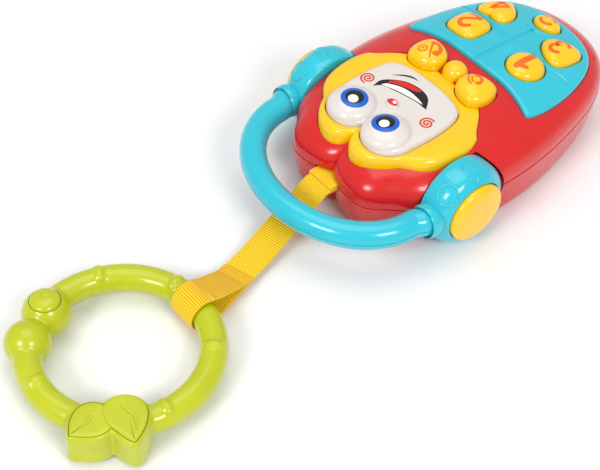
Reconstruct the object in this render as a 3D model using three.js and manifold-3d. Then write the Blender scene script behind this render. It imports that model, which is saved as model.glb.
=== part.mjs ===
// Toy cell phone: a smiling face with headphones and a bow above a five-button keypad, and a
// teether ring on a webbing strap. Millimetres, +Z up. The phone lies on its back on z = 0,
// x = 0 is its plane of symmetry, +Y points to the top of the head and the strap, and the
// origin is the middle of the flat back.
import * as THREE from 'three';
import { mergeVertices } from 'three/addons/utils/BufferGeometryUtils.js';
import Module from 'manifold-3d';

const wasm = await Module();
wasm.setup();

// ---- Driving dimensions ------------------------------------------------------------------

const GAP = 0.3;                    // between pieces that touch
const WALL = 2.4;                   // shell wall
const HALF_WIDTH = 45.2;            // of the housing, at its widest
const FOOT_Y = -69.2;               // keypad end of the housing
const LOBE_Y = 69;                  // tips of the two head lobes
const CLEFT_Y = 63.5;               // bottom of the cleft between the lobes
const PARTING_Z = 18;               // the two shells meet here
const CROWN_Z = 35.6;               // highest point of the front shell
const FOOT_CROWN = 0.8;             // crown height left at the keypad end

const PANEL_PROUD = 1.3;            // keypad panel above the shell
const SEAT = 1;                     // depth of the seats in the front shell
const FRAME_TOP_Z = 34.9;           // hair frame
const FRAME_PROUD = 4.6;            // most that the hair frame stands above the shell
const FACE_TOP_Z = 37.3;            // face plate
const EYE = { x: 10.2, y: 47.6, radius: 9.6, rise: 5.4 };
const NOSE = { y: 34.4, halfX: 3.2, halfY: 2.6, rise: 3 };
const KNOT = { y: 2.4, radius: 5, top: 38.6 };
const BUTTON_RISE = 4.8;            // button dome above the shell
const FLANGE = 0.8;                 // how far a button's flange reaches under the panel
const TRAVEL_ROOM = 1.5;            // free space under a button stem
const MEMBRANE_TOP_Z = 26;
const BOARD_Z = 21;                 // underside of the circuit board
const BOARD_THICK = 1.6;

const CUP_Y = 33.9;                 // headphone axis, along X
const CUP_Z = 17.7;
const CUP_RADIUS = 17.4;
const CUP_INNER_X = 34.9;
const RECESS_X = 34.5;              // flat side of the housing beside a cup
const RECESS_RADIUS = 18.1;

const BAND_RADIUS = 5.3;            // headband tube
const BAND_BORE = 3.5;
const BAND_HALF_WIDTH = 39.4;
const BAND_RISE = 31.5;             // from the band's shoulders to its apex
const BAND_Y = 58;                  // shoulders
const BAND_Z = 19.7;
const BAND_END_Y = 53.6;            // where the band enters its collars
const BAND_FLARE = 1.9;             // outwards, at its ends

const STRAP_WIDTH = 12.7;
const STRAP_THICK = 2.2;            // two layers of webbing
const WEDGE_THICK = 8.4;            // where the layers part, beside the ring
const WEDGE_START = 0.74;           // share of the strap's length before they part
const STRAP_PIVOT_Y = 70.8;         // just outside the lobes
const STRAP_PIVOT_Z = 17.4;
const ANCHOR_Y = 56;                // pin that the webbing is looped round, inside the head
const ANCHOR_Z = 14.6;

const RING = { x: -12.6, y: 170.5, z: 8.75, radius: 32.7, tube: 5.2, tilt: 1.8 };
const LOOP_INNER = 6.1;
const LOOP_OUTER = 7.2;

const SCREW_PLACES = [[-20, -55], [20, -55], [-21, 54], [21, 54]];
const BOARD_SCREW_PLACES = [[-24, 12], [24, 12]];
const SPEAKER = { x: 0, y: 36, radius: 14 };
const BAY = { x: 27.2, south: -42.2, north: -17.8, top: 12.8, wall: 1.6 };
const CELL = { radius: 5.15, length: 43.6, nub: 0.9, z: 7.6, pitch: 11.2, y: -30 };
const DOOR = { x: 26.9, south: -47.9, north: -18.1, thick: 1.9, screwY: -45.4 };
const SWITCH = { x: -26, y: -2 };

// ---- Geometry helpers --------------------------------------------------------------------

const TURN = 2 * Math.PI;
const quarter = Math.PI / 2;
const TINY = 1e-4;

function solid(geometry) {
  const bare = new THREE.BufferGeometry();
  bare.setAttribute('position', geometry.getAttribute('position'));
  if (geometry.index) bare.setIndex(geometry.index);
  const merged = mergeVertices(bare, 1e-4);
  return new wasm.Manifold(new wasm.Mesh({
    numProp: 3,
    vertProperties: Float32Array.from(merged.getAttribute('position').array),
    triVerts: Uint32Array.from(merged.index.array),
  }));
}

function geometryOf(manifold) {
  const mesh = manifold.getMesh();
  const geometry = new THREE.BufferGeometry();
  geometry.setAttribute('position', new THREE.BufferAttribute(mesh.vertProperties, 3));
  geometry.setIndex(new THREE.BufferAttribute(mesh.triVerts, 1));
  geometry.computeVertexNormals();
  return geometry;
}

const joined = (...parts) => parts.reduce((whole, part) => whole.add(part));
const cut = (whole, ...tools) => tools.reduce((rest, tool) => rest.subtract(tool), whole);

function box(x0, x1, y0, y1, z0, z1) {
  const geometry = new THREE.BoxGeometry(x1 - x0, y1 - y0, z1 - z0);
  return solid(geometry.translate((x0 + x1) / 2, (y0 + y1) / 2, (z0 + z1) / 2));
}

function post(x, y, radius, z0, z1, sides = 14) {
  const geometry = new THREE.CylinderGeometry(radius, radius, z1 - z0, sides);
  return solid(geometry.rotateX(quarter).translate(x, y, (z0 + z1) / 2));
}

function crossPin(x0, x1, y, z, radius, sides = 20) {
  const geometry = new THREE.CylinderGeometry(radius, radius, x1 - x0, sides);
  return solid(geometry.rotateZ(quarter).translate((x0 + x1) / 2, y, z));
}

function prism(points, z0, z1) {
  const geometry = new THREE.ExtrudeGeometry(new THREE.Shape(points), {
    depth: z1 - z0, bevelEnabled: false, curveSegments: 1,
  });
  return solid(geometry.translate(0, 0, z0));
}

// A solid turned about the X axis from [x, radius] pairs, centred on y, z.
function turnedX(profile, y, z, sides) {
  const points = profile.map(([x, radius]) => new THREE.Vector2(radius, x));
  const geometry = new THREE.LatheGeometry(points, sides);
  return solid(geometry.rotateZ(-quarter).translate(0, y, z));
}

function turnedZ(profile, x, y, sides) {
  const points = profile.map(([z, radius]) => new THREE.Vector2(radius, z));
  const geometry = new THREE.LatheGeometry(points, sides);
  return solid(geometry.rotateX(quarter).translate(x, y, 0));
}

// Outline layers, each [scale, z], about a centre, closed by a point at each end.
function layered(outline, centre, layers, warp = (x, y, z) => z) {
  const positions = [];
  const push = (x, y, z) => positions.push(x, y, warp(x, y, z));
  for (const [scale, z] of layers) {
    for (const p of outline) {
      push(centre.x + (p.x - centre.x) * scale, centre.y + (p.y - centre.y) * scale, z);
    }
  }
  const count = outline.length;
  const bottom = layers.length * count;
  push(centre.x, centre.y, layers[0][1]);
  push(centre.x, centre.y, layers[layers.length - 1][1]);
  const index = [];
  for (let i = 0; i < count; i += 1) {
    const next = (i + 1) % count;
    index.push(bottom, next, i);
    for (let row = 0; row < layers.length - 1; row += 1) {
      const low = row * count;
      const high = low + count;
      index.push(low + i, low + next, high + next, low + i, high + next, high + i);
    }
    const top = (layers.length - 1) * count;
    index.push(bottom + 1, top + i, top + next);
  }
  const geometry = new THREE.BufferGeometry();
  geometry.setAttribute('position', new THREE.Float32BufferAttribute(positions, 3));
  geometry.setIndex(index);
  return solid(geometry);
}

// A closed outline from the right half of a symmetric one, given from bottom to top.
function mirrored(half) {
  const onAxis = (p) => Math.abs(p.x) < 1e-6;
  const left = half.filter((p) => !onAxis(p)).map((p) => new THREE.Vector2(-p.x, p.y)).reverse();
  return [...half, ...left];
}

// Cubic stretches, each [control 1, control 2, end], from a start point, as points.
function cubicPath(start, stretches, steps) {
  const points = [new THREE.Vector2(...start)];
  let from = points[0];
  for (const [a, b, end] of stretches) {
    const to = new THREE.Vector2(...end);
    const curve = new THREE.CubicBezierCurve(from, new THREE.Vector2(...a), new THREE.Vector2(...b), to);
    points.push(...curve.getPoints(steps).slice(1));
    from = to;
  }
  return points;
}

const grown = (outline, centre, by) => outline.map((p) => {
  const out = p.clone().sub(centre);
  return out.setLength(out.length() + by).add(centre);
});

const shifted = (outline, x, y) => outline.map((p) => new THREE.Vector2(p.x + x, p.y + y));

const oval = (halfX, halfY, sides) => Array.from({ length: sides }, (_, i) => new THREE.Vector2(
  halfX * Math.cos((TURN * i) / sides), halfY * Math.sin((TURN * i) / sides)));

// ---- Housing outline and crown -----------------------------------------------------------

const ORIGIN = new THREE.Vector2(0, 0);
const FACE_CENTRE = new THREE.Vector2(0, 35);

const housingOutline = mirrored(cubicPath([0, FOOT_Y], [
  [[24, FOOT_Y], [34, -52], [39.4, -31]],
  [[42.5, -19], [HALF_WIDTH, -6], [HALF_WIDTH, 10]],
  [[HALF_WIDTH, 30], [38.8, 49], [31, 56]],
  [[26.5, 60.5], [25, LOBE_Y], [16.5, LOBE_Y]],
  [[9, LOBE_Y], [3, 68], [0, CLEFT_Y]],
], 4));

// [scale of the outline, z]: nearly upright sides, a rounded shoulder and a shallow crown.
const FRONT_LAYERS = [
  [1, PARTING_Z + GAP / 2], [0.99, 22.5], [0.965, 26], [0.91, 29], [0.81, 31.6],
  [0.64, 33.6], [0.35, CROWN_Z - 0.4],
];
const REAR_LAYERS = [
  [0.92, 0], [0.96, 1.4], [0.985, 5], [1, PARTING_Z - GAP / 2],
];

const crownFactor = (y) => 1 - (1 - FOOT_CROWN) * Math.min(1, Math.max(0, (14 - y) / 84)) ** 1.4;

function frontBody(dz = 0, inset = 0, bottom = FRONT_LAYERS[0][1]) {
  const layers = FRONT_LAYERS.map(([scale, z]) => [scale - inset / HALF_WIDTH, z]);
  layers[0][1] = PARTING_Z;
  const warp = (x, y, z) => PARTING_Z + (z - PARTING_Z) * crownFactor(y) + dz;
  const shell = layered(housingOutline, ORIGIN, layers, warp);
  const skirt = prism(grown(housingOutline, ORIGIN, -inset), bottom, PARTING_Z + dz + 0.01);
  return bottom < PARTING_Z + dz ? joined(shell, skirt) : shell;
}

const outerFront = cut(frontBody(), box(-60, 60, -90, 90, 0, PARTING_Z + GAP / 2));

function crownAt(x, y) {
  const reach = Math.max(Math.abs(x) / HALF_WIDTH, y > 0 ? y / LOBE_Y : y / FOOT_Y);
  const row = FRONT_LAYERS.findIndex(([scale]) => scale <= reach);
  const [s1, z1] = FRONT_LAYERS[row < 1 ? FRONT_LAYERS.length - 1 : row];
  const [s0, z0] = FRONT_LAYERS[row < 1 ? FRONT_LAYERS.length - 2 : row - 1];
  const z = z1 + ((z0 - z1) * (reach - s1)) / (s0 - s1);
  return PARTING_Z + (Math.min(z, CROWN_Z) - PARTING_Z) * crownFactor(y);
}

function cupRecess(side, grow = 0) {
  const near = side * (RECESS_X - grow);
  const far = side * 60;
  return crossPin(Math.min(near, far), Math.max(near, far), CUP_Y, CUP_Z, RECESS_RADIUS + grow, 28);
}

const bothSides = (make) => joined(make(-1), make(1));

// ---- Outlines of the front pieces --------------------------------------------------------

const keypadOutline = mirrored(cubicPath([0, -59], [
  [[13, -59], [20, -56], [25, -50]],
  [[30, -44], [34.8, -28], [34.8, -14]],
  [[34.8, -10], [34.4, -7], [33.4, -5]],
  [[28, -8.5], [20, -10.8], [12, -10.8]],
  [[8, -10.8], [4, -10.8], [0, -10.8]],
], 3));

const hairOutline = mirrored(cubicPath([0, 5.5], [
  [[6, 5.5], [12, 4.5], [17, 6]],
  [[24, 8.5], [27, 17], [31, 18.5]],
  [[35, 25], [35, 41], [30, 46.5]],
  [[27.5, 49.5], [25, 50.5], [22.5, 53]],
  [[19.5, 57], [14, 64.2], [7, 64.2]],
  [[3, 64.2], [1, 61.5], [0, 58.5]],
], 3));

const faceOutline = mirrored(cubicPath([0, 13.1], [
  [[9, 13.1], [15, 14], [18.5, 17]],
  [[21.5, 21], [22, 32], [21, 43]],
  [[21.6, 54], [15, 58], [10, 58]],
  [[4.5, 58], [1.5, 55], [0, 51.5]],
], 4));

const knotOutline = shifted(oval(KNOT.radius, KNOT.radius, 16), 0, KNOT.y);

// ---- Shells ------------------------------------------------------------------------------

const BUTTONS = [
  { name: 'button_1', x: -14.9, y: -22.8, outline: oval(7.9, 7.9, 14) },
  { name: 'button_2', x: 17.3, y: -22.8, outline: roundedSquare(7.9) },
  { name: 'button_3', x: -15.4, y: -41.6, outline: roundedTriangle() },
  { name: 'heart_button', x: 17.8, y: -41.6, outline: heart() },
  { name: 'repeat_button', x: 0, y: -51, outline: oval(6.3, 4.9, 12) },
  { name: 'bow_button_left', x: -12.4, y: 3.2, outline: bowLobe(-1) },
  { name: 'bow_button_right', x: 12.4, y: 3.2, outline: bowLobe(1) },
];

function roundedSquare(half) {
  const power = 3.2;
  return Array.from({ length: 16 }, (_, i) => {
    const c = Math.cos((TURN * i) / 16);
    const s = Math.sin((TURN * i) / 16);
    const r = half / (Math.abs(c) ** power + Math.abs(s) ** power) ** (1 / power);
    return new THREE.Vector2(r * c, r * s);
  });
}

// Its flat side faces -X and its rounded point +X.
function roundedTriangle() {
  const upright = mirrored(cubicPath([0, -7.6], [
    [[5.5, -7.6], [9, -6.6], [8.6, -2.6]],
    [[8, 2], [4, 7.8], [0, 7.8]],
  ], 3));
  return upright.map((p) => new THREE.Vector2(p.y, -p.x));
}

function heart() {
  return mirrored(cubicPath([0, -8], [
    [[3, -6.4], [8.4, -2.6], [8.4, 2.6]],
    [[8.4, 8.4], [2.6, 8.6], [0, 5.2]],
  ], 4));
}

function bowLobe(side) {
  const half = cubicPath([side * -7, 0], [
    [[side * -6, 5], [side * 3, 8.4], [side * 6.4, 7.2]],
    [[side * 10, 5.8], [side * 10, -5.8], [side * 6.4, -7.2]],
    [[side * 3, -8.4], [side * -6, -5], [side * -7, 0]],
  ], 3).slice(0, -1);
  return side > 0 ? half.reverse() : half;
}

const isBow = (button) => button.name.startsWith('bow');
const buttonCentre = (button) => new THREE.Vector2(button.x, button.y);
const buttonOutline = (button, by = 0) => {
  const outline = shifted(button.outline, button.x, button.y);
  return grown(outline, buttonCentre(button), by);
};

const middleOf = (outline) => {
  const heights = outline.map((p) => p.y);
  return new THREE.Vector2(0, (Math.min(...heights) + Math.max(...heights)) / 2);
};

function seat(outline, grow) {
  const centre = middleOf(outline);
  return cut(prism(grown(outline, centre, grow), 20, 50), frontBody(-SEAT, 0, 10));
}

function screwBoss(x, y, radius, bottom) {
  return post(x, y, radius, bottom, 50).intersect(outerFront);
}

function frontShell() {
  const cavity = cut(frontBody(-WALL, WALL, 10), bothSides((side) => cupRecess(side, WALL)));
  let shell = cut(outerFront, cavity, bothSides((side) => cupRecess(side)));
  for (const [x, y] of SCREW_PLACES) {
    const bore = post(x, y, 1.1, 10, 28, 8);
    shell = cut(joined(shell, screwBoss(x, y, 3.4, PARTING_Z + GAP / 2)), bore);
  }
  for (const [x, y] of BOARD_SCREW_PLACES) {
    const bore = post(x, y, 0.9, 10, 29, 8);
    shell = cut(joined(shell, screwBoss(x, y, 2.5, BOARD_Z + BOARD_THICK + GAP)), bore);
  }
  const windows = BUTTONS.map((b) => prism(buttonOutline(b, isBow(b) ? 0.5 : FLANGE + 0.5), 20, 50));
  const seats = [keypadOutline, hairOutline, knotOutline].map((o) => seat(o, GAP));
  const hubHoles = bothSides((side) => hubHole(side));
  return cut(shell, ...windows, ...seats, hubHoles, strapMouth());
}

const hubHole = (side) => crossPin(Math.min(side * 28, side * 40), Math.max(side * 28, side * 40),
  CUP_Y, CUP_Z, 5.5, 16);

const strapMouth = () => box(-7, 7, 56, 80, STRAP_PIVOT_Z - 2.2, STRAP_PIVOT_Z + 2.2);

function rearShell() {
  const outer = layered(housingOutline, ORIGIN, REAR_LAYERS);
  const inside = REAR_LAYERS.map(([scale, z]) => [scale - WALL / HALF_WIDTH, z + 2.2]);
  const cavity = cut(layered(housingOutline, ORIGIN, inside), bothSides((side) => cupRecess(side, WALL)));
  let shell = cut(outer, cavity, bothSides((side) => cupRecess(side)));
  const bayOuter = box(-BAY.x - BAY.wall, BAY.x + BAY.wall, BAY.south - BAY.wall,
    BAY.north + BAY.wall, 0.5, BAY.top + BAY.wall);
  const doorBoss = post(0, DOOR.screwY, 3.2, 2.3, 13);
  const switchPad = box(SWITCH.x - 6, SWITCH.x + 6, SWITCH.y - 9, SWITCH.y + 9, 0.5, 3.7);
  shell = joined(shell, bayOuter);
  shell = cut(shell,
    box(-BAY.x, BAY.x, BAY.south, BAY.north, -1, BAY.top),
    box(-BAY.x, BAY.x, DOOR.south - GAP, BAY.north, -1, 2.3),
    box(-6.6, 6.6, BAY.north - 1, BAY.north + 3, 2.2, 5.2));
  shell = joined(shell, doorBoss, switchPad);
  for (const [x, y] of SCREW_PLACES) {
    shell = joined(shell, post(x, y, 4.6, 0.5, PARTING_Z - GAP / 2));
    shell = cut(shell, post(x, y, 3.1, -1, 6), post(x, y, 1.7, 5, 30, 12));
  }
  for (const x of [-10.5, 10.5]) {
    const rib = box(x - 1.2, x + 1.2, 53, 59, 2, PARTING_Z - GAP / 2);
    shell = cut(joined(shell, rib), crossPin(-14, 14, ANCHOR_Y, ANCHOR_Z, 1.8, 16));
  }
  const speakerWall = cut(
    post(SPEAKER.x, SPEAKER.y, SPEAKER.radius + 2, 2, 5, 32),
    post(SPEAKER.x, SPEAKER.y, SPEAKER.radius + GAP, 1, 6, 32));
  shell = joined(shell, speakerWall);
  return cut(shell,
    ...grilleHoles(),
    post(0, DOOR.screwY, 2, 1, 11, 14),
    box(SWITCH.x - 4.5, SWITCH.x + 4.5, SWITCH.y - 7.5, SWITCH.y + 7.5, -1, 1.5),
    box(SWITCH.x - 2.4, SWITCH.x + 2.4, SWITCH.y - 5.4, SWITCH.y + 5.4, -1, 4),
    bothSides((side) => hubHole(side)),
    strapMouth());
}

function grilleHoles() {
  const holes = [post(SPEAKER.x, SPEAKER.y, 1.1, -1, 4, 6)];
  for (const [count, radius] of [[4, 4], [8, 8]]) {
    for (let i = 0; i < count; i += 1) {
      const angle = (TURN * i) / count;
      const x = SPEAKER.x + radius * Math.cos(angle);
      holes.push(post(x, SPEAKER.y + radius * Math.sin(angle), 1.1, -1, 4, 6));
    }
  }
  return holes;
}

// ---- Front pieces ------------------------------------------------------------------------

function keypadPanel() {
  const slab = prism(keypadOutline, 20, 50).intersect(frontBody(PANEL_PROUD, 0, 10));
  const holes = BUTTONS.filter((b) => !isBow(b)).map((b) => prism(buttonOutline(b, 0.4), 20, 50));
  return cut(slab, frontBody(GAP - SEAT, 0, 10), ...holes, ...bowClearance());
}

const bowClearance = () => BUTTONS.filter(isBow).map((b) => prism(buttonOutline(b, 0.4), 20, 50));

function hairFrame() {
  const crest = prism(hairOutline, 20, FRAME_TOP_Z).intersect(frontBody(FRAME_PROUD, 0, 10));
  const knot = layered(knotOutline, new THREE.Vector2(0, KNOT.y), [
    [1, 30], [1, KNOT.top - 2], [0.9, KNOT.top - 0.9], [0.6, KNOT.top - 0.2], [0.2, KNOT.top],
  ]);
  const faceHole = prism(grown(faceOutline, FACE_CENTRE, GAP), 20, 50);
  return cut(joined(crest, knot), frontBody(GAP - SEAT, 0, 10), faceHole, ...bowClearance());
}

function facePlate() {
  const plate = layered(faceOutline, FACE_CENTRE, [
    [1, 28], [1, FACE_TOP_Z - 1.4], [0.975, FACE_TOP_Z - 0.4], [0.93, FACE_TOP_Z],
  ]);
  const boss = (x, y, halfX, halfY, rise, sides) => domed(shifted(oval(halfX, halfY, sides), x, y),
    new THREE.Vector2(x, y), FACE_TOP_Z - 1, rise);
  const eyes = bothSides((side) => boss(side * EYE.x, EYE.y, EYE.radius, EYE.radius, EYE.rise, 14));
  const nose = boss(0, NOSE.y, NOSE.halfX, NOSE.halfY, NOSE.rise, 8);
  return cut(joined(plate, eyes, nose), frontBody(GAP - SEAT, 0, 10));
}

// A round-topped boss: a quarter ellipse in height over any outline.
function domed(outline, centre, z0, rise, rows = 3) {
  const layers = [[1, z0]];
  for (let i = 1; i <= rows; i += 1) {
    const angle = (quarter * i) / (rows + 0.6);
    layers.push([Math.cos(angle), z0 + rise * Math.sin(angle)]);
  }
  return layered(outline, centre, layers);
}

function pushButton(button) {
  const bow = isBow(button);
  const centre = buttonCentre(button);
  const base = crownAt(button.x, button.y);
  const straight = bow ? 1.6 : 0.6;
  const dome = [30, 57, 82].map((degrees) => {
    const angle = THREE.MathUtils.degToRad(degrees);
    return [Math.cos(angle), base + straight + (BUTTON_RISE - straight) * Math.sin(angle)];
  });
  const cap = layered(buttonOutline(button), centre, [[1, base - 2.5], [1, base + straight], ...dome]);
  const under = bow ? WALL + 0.8 : SEAT + GAP;
  const flange = cut(prism(buttonOutline(button, FLANGE), 20, 50).intersect(frontBody(-under, 0, 10)),
    frontBody(-under - 1.3, 0, 10));
  const stem = post(button.x, button.y, 3, MEMBRANE_TOP_Z + TRAVEL_ROOM, base - 1);
  return joined(cap, flange, stem);
}

// ---- Electronics and fasteners -----------------------------------------------------------

function membrane() {
  const z = BOARD_Z + BOARD_THICK + GAP;
  const sheet = joined(box(-24, 24, -48, 9, z, z + 1.1), box(-9, 9, -55.4, -47, z, z + 1.1));
  const bumps = BUTTONS.map((b) => turnedZ([
    [z + 0.5, 0], [z + 0.5, 4.2], [z + 1.2, 4.2], [MEMBRANE_TOP_Z - 0.6, 3], [MEMBRANE_TOP_Z, 2.4],
    [MEMBRANE_TOP_Z, 0],
  ], b.x, b.y, 8));
  return joined(sheet, ...bumps);
}

function circuitBoard() {
  const board = joined(box(-27, 27, -47, 15, BOARD_Z, BOARD_Z + BOARD_THICK),
    box(-12, 12, -57, -46, BOARD_Z, BOARD_Z + BOARD_THICK));
  const chip = turnedZ([
    [BOARD_Z - 1.8, 0], [BOARD_Z - 1.6, 3], [BOARD_Z - 0.6, 5], [BOARD_Z + 0.5, 5.4], [BOARD_Z + 0.5, 0],
  ], 6, 0, 18);
  const holes = BOARD_SCREW_PLACES.map(([x, y]) => post(x, y, 1.3, 10, 30, 12));
  return cut(joined(board, chip), ...holes);
}

function speaker() {
  const z = 2.7;
  return turnedZ([
    [z, 0], [z + 0.9, 6], [z, 11.8], [z, SPEAKER.radius], [z + 1.4, SPEAKER.radius],
    [z + 2.2, 12.6], [z + 3.6, 8], [z + 3.6, 7.4], [z + 7, 7.4], [z + 7, 0],
  ], SPEAKER.x, SPEAKER.y, 16);
}

function cell(way) {
  const half = (CELL.length + CELL.nub) / 2;
  const profile = [
    [-half, 0], [-half, CELL.radius - 0.4], [0.4 - half, CELL.radius],
    [half - CELL.nub - 0.4, CELL.radius], [half - CELL.nub, CELL.radius - 0.4],
    [half - CELL.nub, 1.9], [half, 1.9], [half, 0],
  ];
  const turned = way > 0 ? profile : profile.map(([x, r]) => [-x, r]).reverse();
  return turnedX(turned, CELL.y + (way * CELL.pitch) / 2, CELL.z, 16);
}

// A conical coil from its contact plate, on the wall of the bay, to the flat end of a cell.
function contactSpring(way) {
  const end = (CELL.length + CELL.nub) / 2 + GAP + 0.4;
  const wall = BAY.x - 1.2;
  const turns = 2.5;
  class Coil extends THREE.Curve {
    getPoint(t) {
      const radius = 3.6 - 1.4 * t;
      const x = wall + (end - wall) * t;
      const angle = turns * TURN * t;
      return new THREE.Vector3(-way * x, radius * Math.cos(angle), radius * Math.sin(angle));
    }
  }
  const wire = new THREE.ExtrudeGeometry(new THREE.Shape(oval(0.35, 0.35, 4)), {
    steps: 22, extrudePath: new Coil(), bevelEnabled: false,
  });
  const y = CELL.y + (way * CELL.pitch) / 2;
  const plateX = [-way * (BAY.x - GAP), -way * (BAY.x - 1)].sort((a, b) => a - b);
  const plate = box(...plateX, y - 4.6, y + 4.6, 3.2, 12);
  const tongueX = [-way * (BAY.x - 0.6), -way * (wall - 0.1)].sort((a, b) => a - b);
  const root = box(...tongueX, y + 3, y + 4.2, CELL.z - 0.7, CELL.z + 0.7);
  return joined(solid(wire.translate(0, y, CELL.z)), plate, root);
}

function contactPlate(way) {
  const y = CELL.y + (way * CELL.pitch) / 2;
  const ends = [way * (BAY.x - GAP), way * (BAY.x - 1)].sort((a, b) => a - b);
  const bump = [way * (BAY.x - 0.6), way * ((CELL.length + CELL.nub) / 2 + GAP)].sort((a, b) => a - b);
  return joined(box(...ends, y - 4.6, y + 4.6, 3.2, 12), crossPin(...bump, y, CELL.z, 1.5, 12));
}

function batteryDoor() {
  const plate = box(-DOOR.x, DOOR.x, DOOR.south, DOOR.north, 0, DOOR.thick);
  const riser = box(-6, 6, DOOR.north - 1.8, DOOR.north, 1, 3.8);
  const tongue = box(-6, 6, DOOR.north - 1.8, DOOR.north + 2.4, 2.6, 3.8);
  const pip = box(-4, 4, -34, -26, 1, 2.2);
  const counterbore = joined(post(0, DOOR.screwY, 1.6, -1, 4, 12), post(0, DOOR.screwY, 2.3, -1, 1.4, 16));
  return cut(joined(plate, riser, tongue, pip), counterbore);
}

function panScrew(x, y, headZ, headRadius, headHeight, radius, tipZ) {
  const head = post(x, y, headRadius, headZ, headZ + headHeight, 10);
  const shank = turnedZ([
    [headZ + headHeight - 0.4, 0], [headZ + headHeight - 0.4, radius], [tipZ - 1, radius], [tipZ, 0],
  ], x, y, 8);
  const cross = [box(x - 1.6, x + 1.6, y - 0.3, y + 0.3, headZ - 1, headZ + 0.9),
    box(x - 0.3, x + 0.3, y - 1.6, y + 1.6, headZ - 1, headZ + 0.9)];
  return cut(joined(head, shank), ...cross);
}

function powerSwitch() {
  const y = SWITCH.y - 2.5;
  const knob = box(SWITCH.x - 2, SWITCH.x + 2, y - 2.4, y + 2.4, 0.3, 4.4);
  const slider = box(SWITCH.x - 3.6, SWITCH.x + 3.6, y - 6, y + 6, 4, 5.4);
  const grooves = [-1.2, 0, 1.2].map((dy) => box(
    SWITCH.x - 3, SWITCH.x + 3, y + dy - 0.2, y + dy + 0.2, 0, 0.7));
  return cut(joined(knob, slider), ...grooves);
}

// ---- Headphones --------------------------------------------------------------------------

const facing = (side, profile) => (side > 0 ? profile : profile.map(([x, r]) => [-x, r]).reverse());

function pivotHub(side) {
  return cut(turnedX(facing(side, [
    [29.2, 0], [29.2, 8], [31.6, 8], [31.6, 5], [37.6, 5], [37.6, 0],
  ]), CUP_Y, CUP_Z, 14), crossPin(Math.min(side * 31, side * 40), Math.max(side * 31, side * 40),
    CUP_Y, CUP_Z, 1.4, 12));
}

function pivotWasher(side) {
  return turnedX(facing(side, [
    [37.9, 1.7], [37.9, 8.4], [38.9, 8.4], [38.9, 1.7], [37.9, 1.7],
  ]), CUP_Y, CUP_Z, 14);
}

function pivotScrew(side) {
  return turnedX(facing(side, [
    [32, 0], [32, 1], [39.1, 1], [39.1, 3], [40.6, 2.6], [41, 0],
  ]), CUP_Y, CUP_Z, 10);
}

function earCup(side) {
  const barrel = turnedX(facing(side, [
    [CUP_INNER_X, 5.4], [CUP_INNER_X, 16.6], [35.7, CUP_RADIUS], [41.5, CUP_RADIUS],
    [44, 16.9], [46, 15.6], [47.4, 13.8], [47.9, 12.9], [44.8, 12.5], [44.8, 10.9],
    [37.4, 10.9], [37.4, 5.4], [CUP_INNER_X, 5.4],
  ]), CUP_Y, CUP_Z, 22);
  const collarX = side * (BAND_HALF_WIDTH + BAND_FLARE);
  const bulb = solid(new THREE.SphereGeometry(6.8, 12, 8).translate(collarX, 51, BAND_Z - 0.3));
  const socket = solid(new THREE.CylinderGeometry(BAND_RADIUS + 1, BAND_RADIUS + 1, 9, 16)
    .translate(collarX, BAND_END_Y - GAP + 4.5, BAND_Z));
  const hollow = turnedX(facing(side, [
    [CUP_INNER_X - 1, 0], [CUP_INNER_X - 1, 15], [50, 15], [50, 0],
  ]), CUP_Y, CUP_Z, 22);
  return cut(joined(barrel, cut(bulb, hollow)), socket);
}

function cupCap(side) {
  return turnedX(facing(side, [
    [45.2, 0], [45.2, 12.1], [48.2, 12.5], [49.6, 12.2], [50.6, 10.6], [51.3, 6], [51.3, 0],
  ]), CUP_Y, CUP_Z, 20);
}

// The band runs from one collar, round the head in a half ellipse, to the other collar.
class BandPath extends THREE.Curve {
  getPoint(t) {
    const lead = 0.05;
    if (t < lead || t > 1 - lead) {
      const side = t < 0.5 ? 1 : -1;
      const along = (t < 0.5 ? t : 1 - t) / lead;
      const flare = BAND_FLARE * (1 - along * along * (3 - 2 * along));
      return new THREE.Vector3(side * (BAND_HALF_WIDTH + flare),
        BAND_END_Y + (BAND_Y - BAND_END_Y) * along, 0);
    }
    const angle = (Math.PI * (t - lead)) / (1 - 2 * lead);
    return new THREE.Vector3(BAND_HALF_WIDTH * Math.cos(angle), BAND_Y + BAND_RISE * Math.sin(angle), 0);
  }
}

function bandHalf(side) {
  const seam = side * GAP / 2;
  const arc = (radius, from, to, count) => Array.from({ length: count }, (_, i) => {
    const angle = from + ((to - from) * i) / (count - 1);
    return new THREE.Vector2(radius * Math.cos(angle), radius * Math.sin(angle));
  });
  const tube = [...arc(BAND_RADIUS, 0, Math.PI, 6), ...arc(BAND_BORE, Math.PI, 0, 3)];
  const steps = 20;
  const path = new BandPath();
  const positions = [];
  for (let i = 0; i <= steps; i += 1) {
    const t = i / steps;
    const at = path.getPoint(t);
    const behind = path.getPoint(Math.max(0, t - TINY));
    const ahead = path.getPoint(Math.min(1, t + TINY)).sub(behind).normalize();
    for (const p of tube) {
      positions.push(at.x + ahead.y * p.x, at.y - ahead.x * p.x, BAND_Z + seam + side * p.y);
    }
  }
  return swept(tube, positions, steps, side < 0);
}

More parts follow.
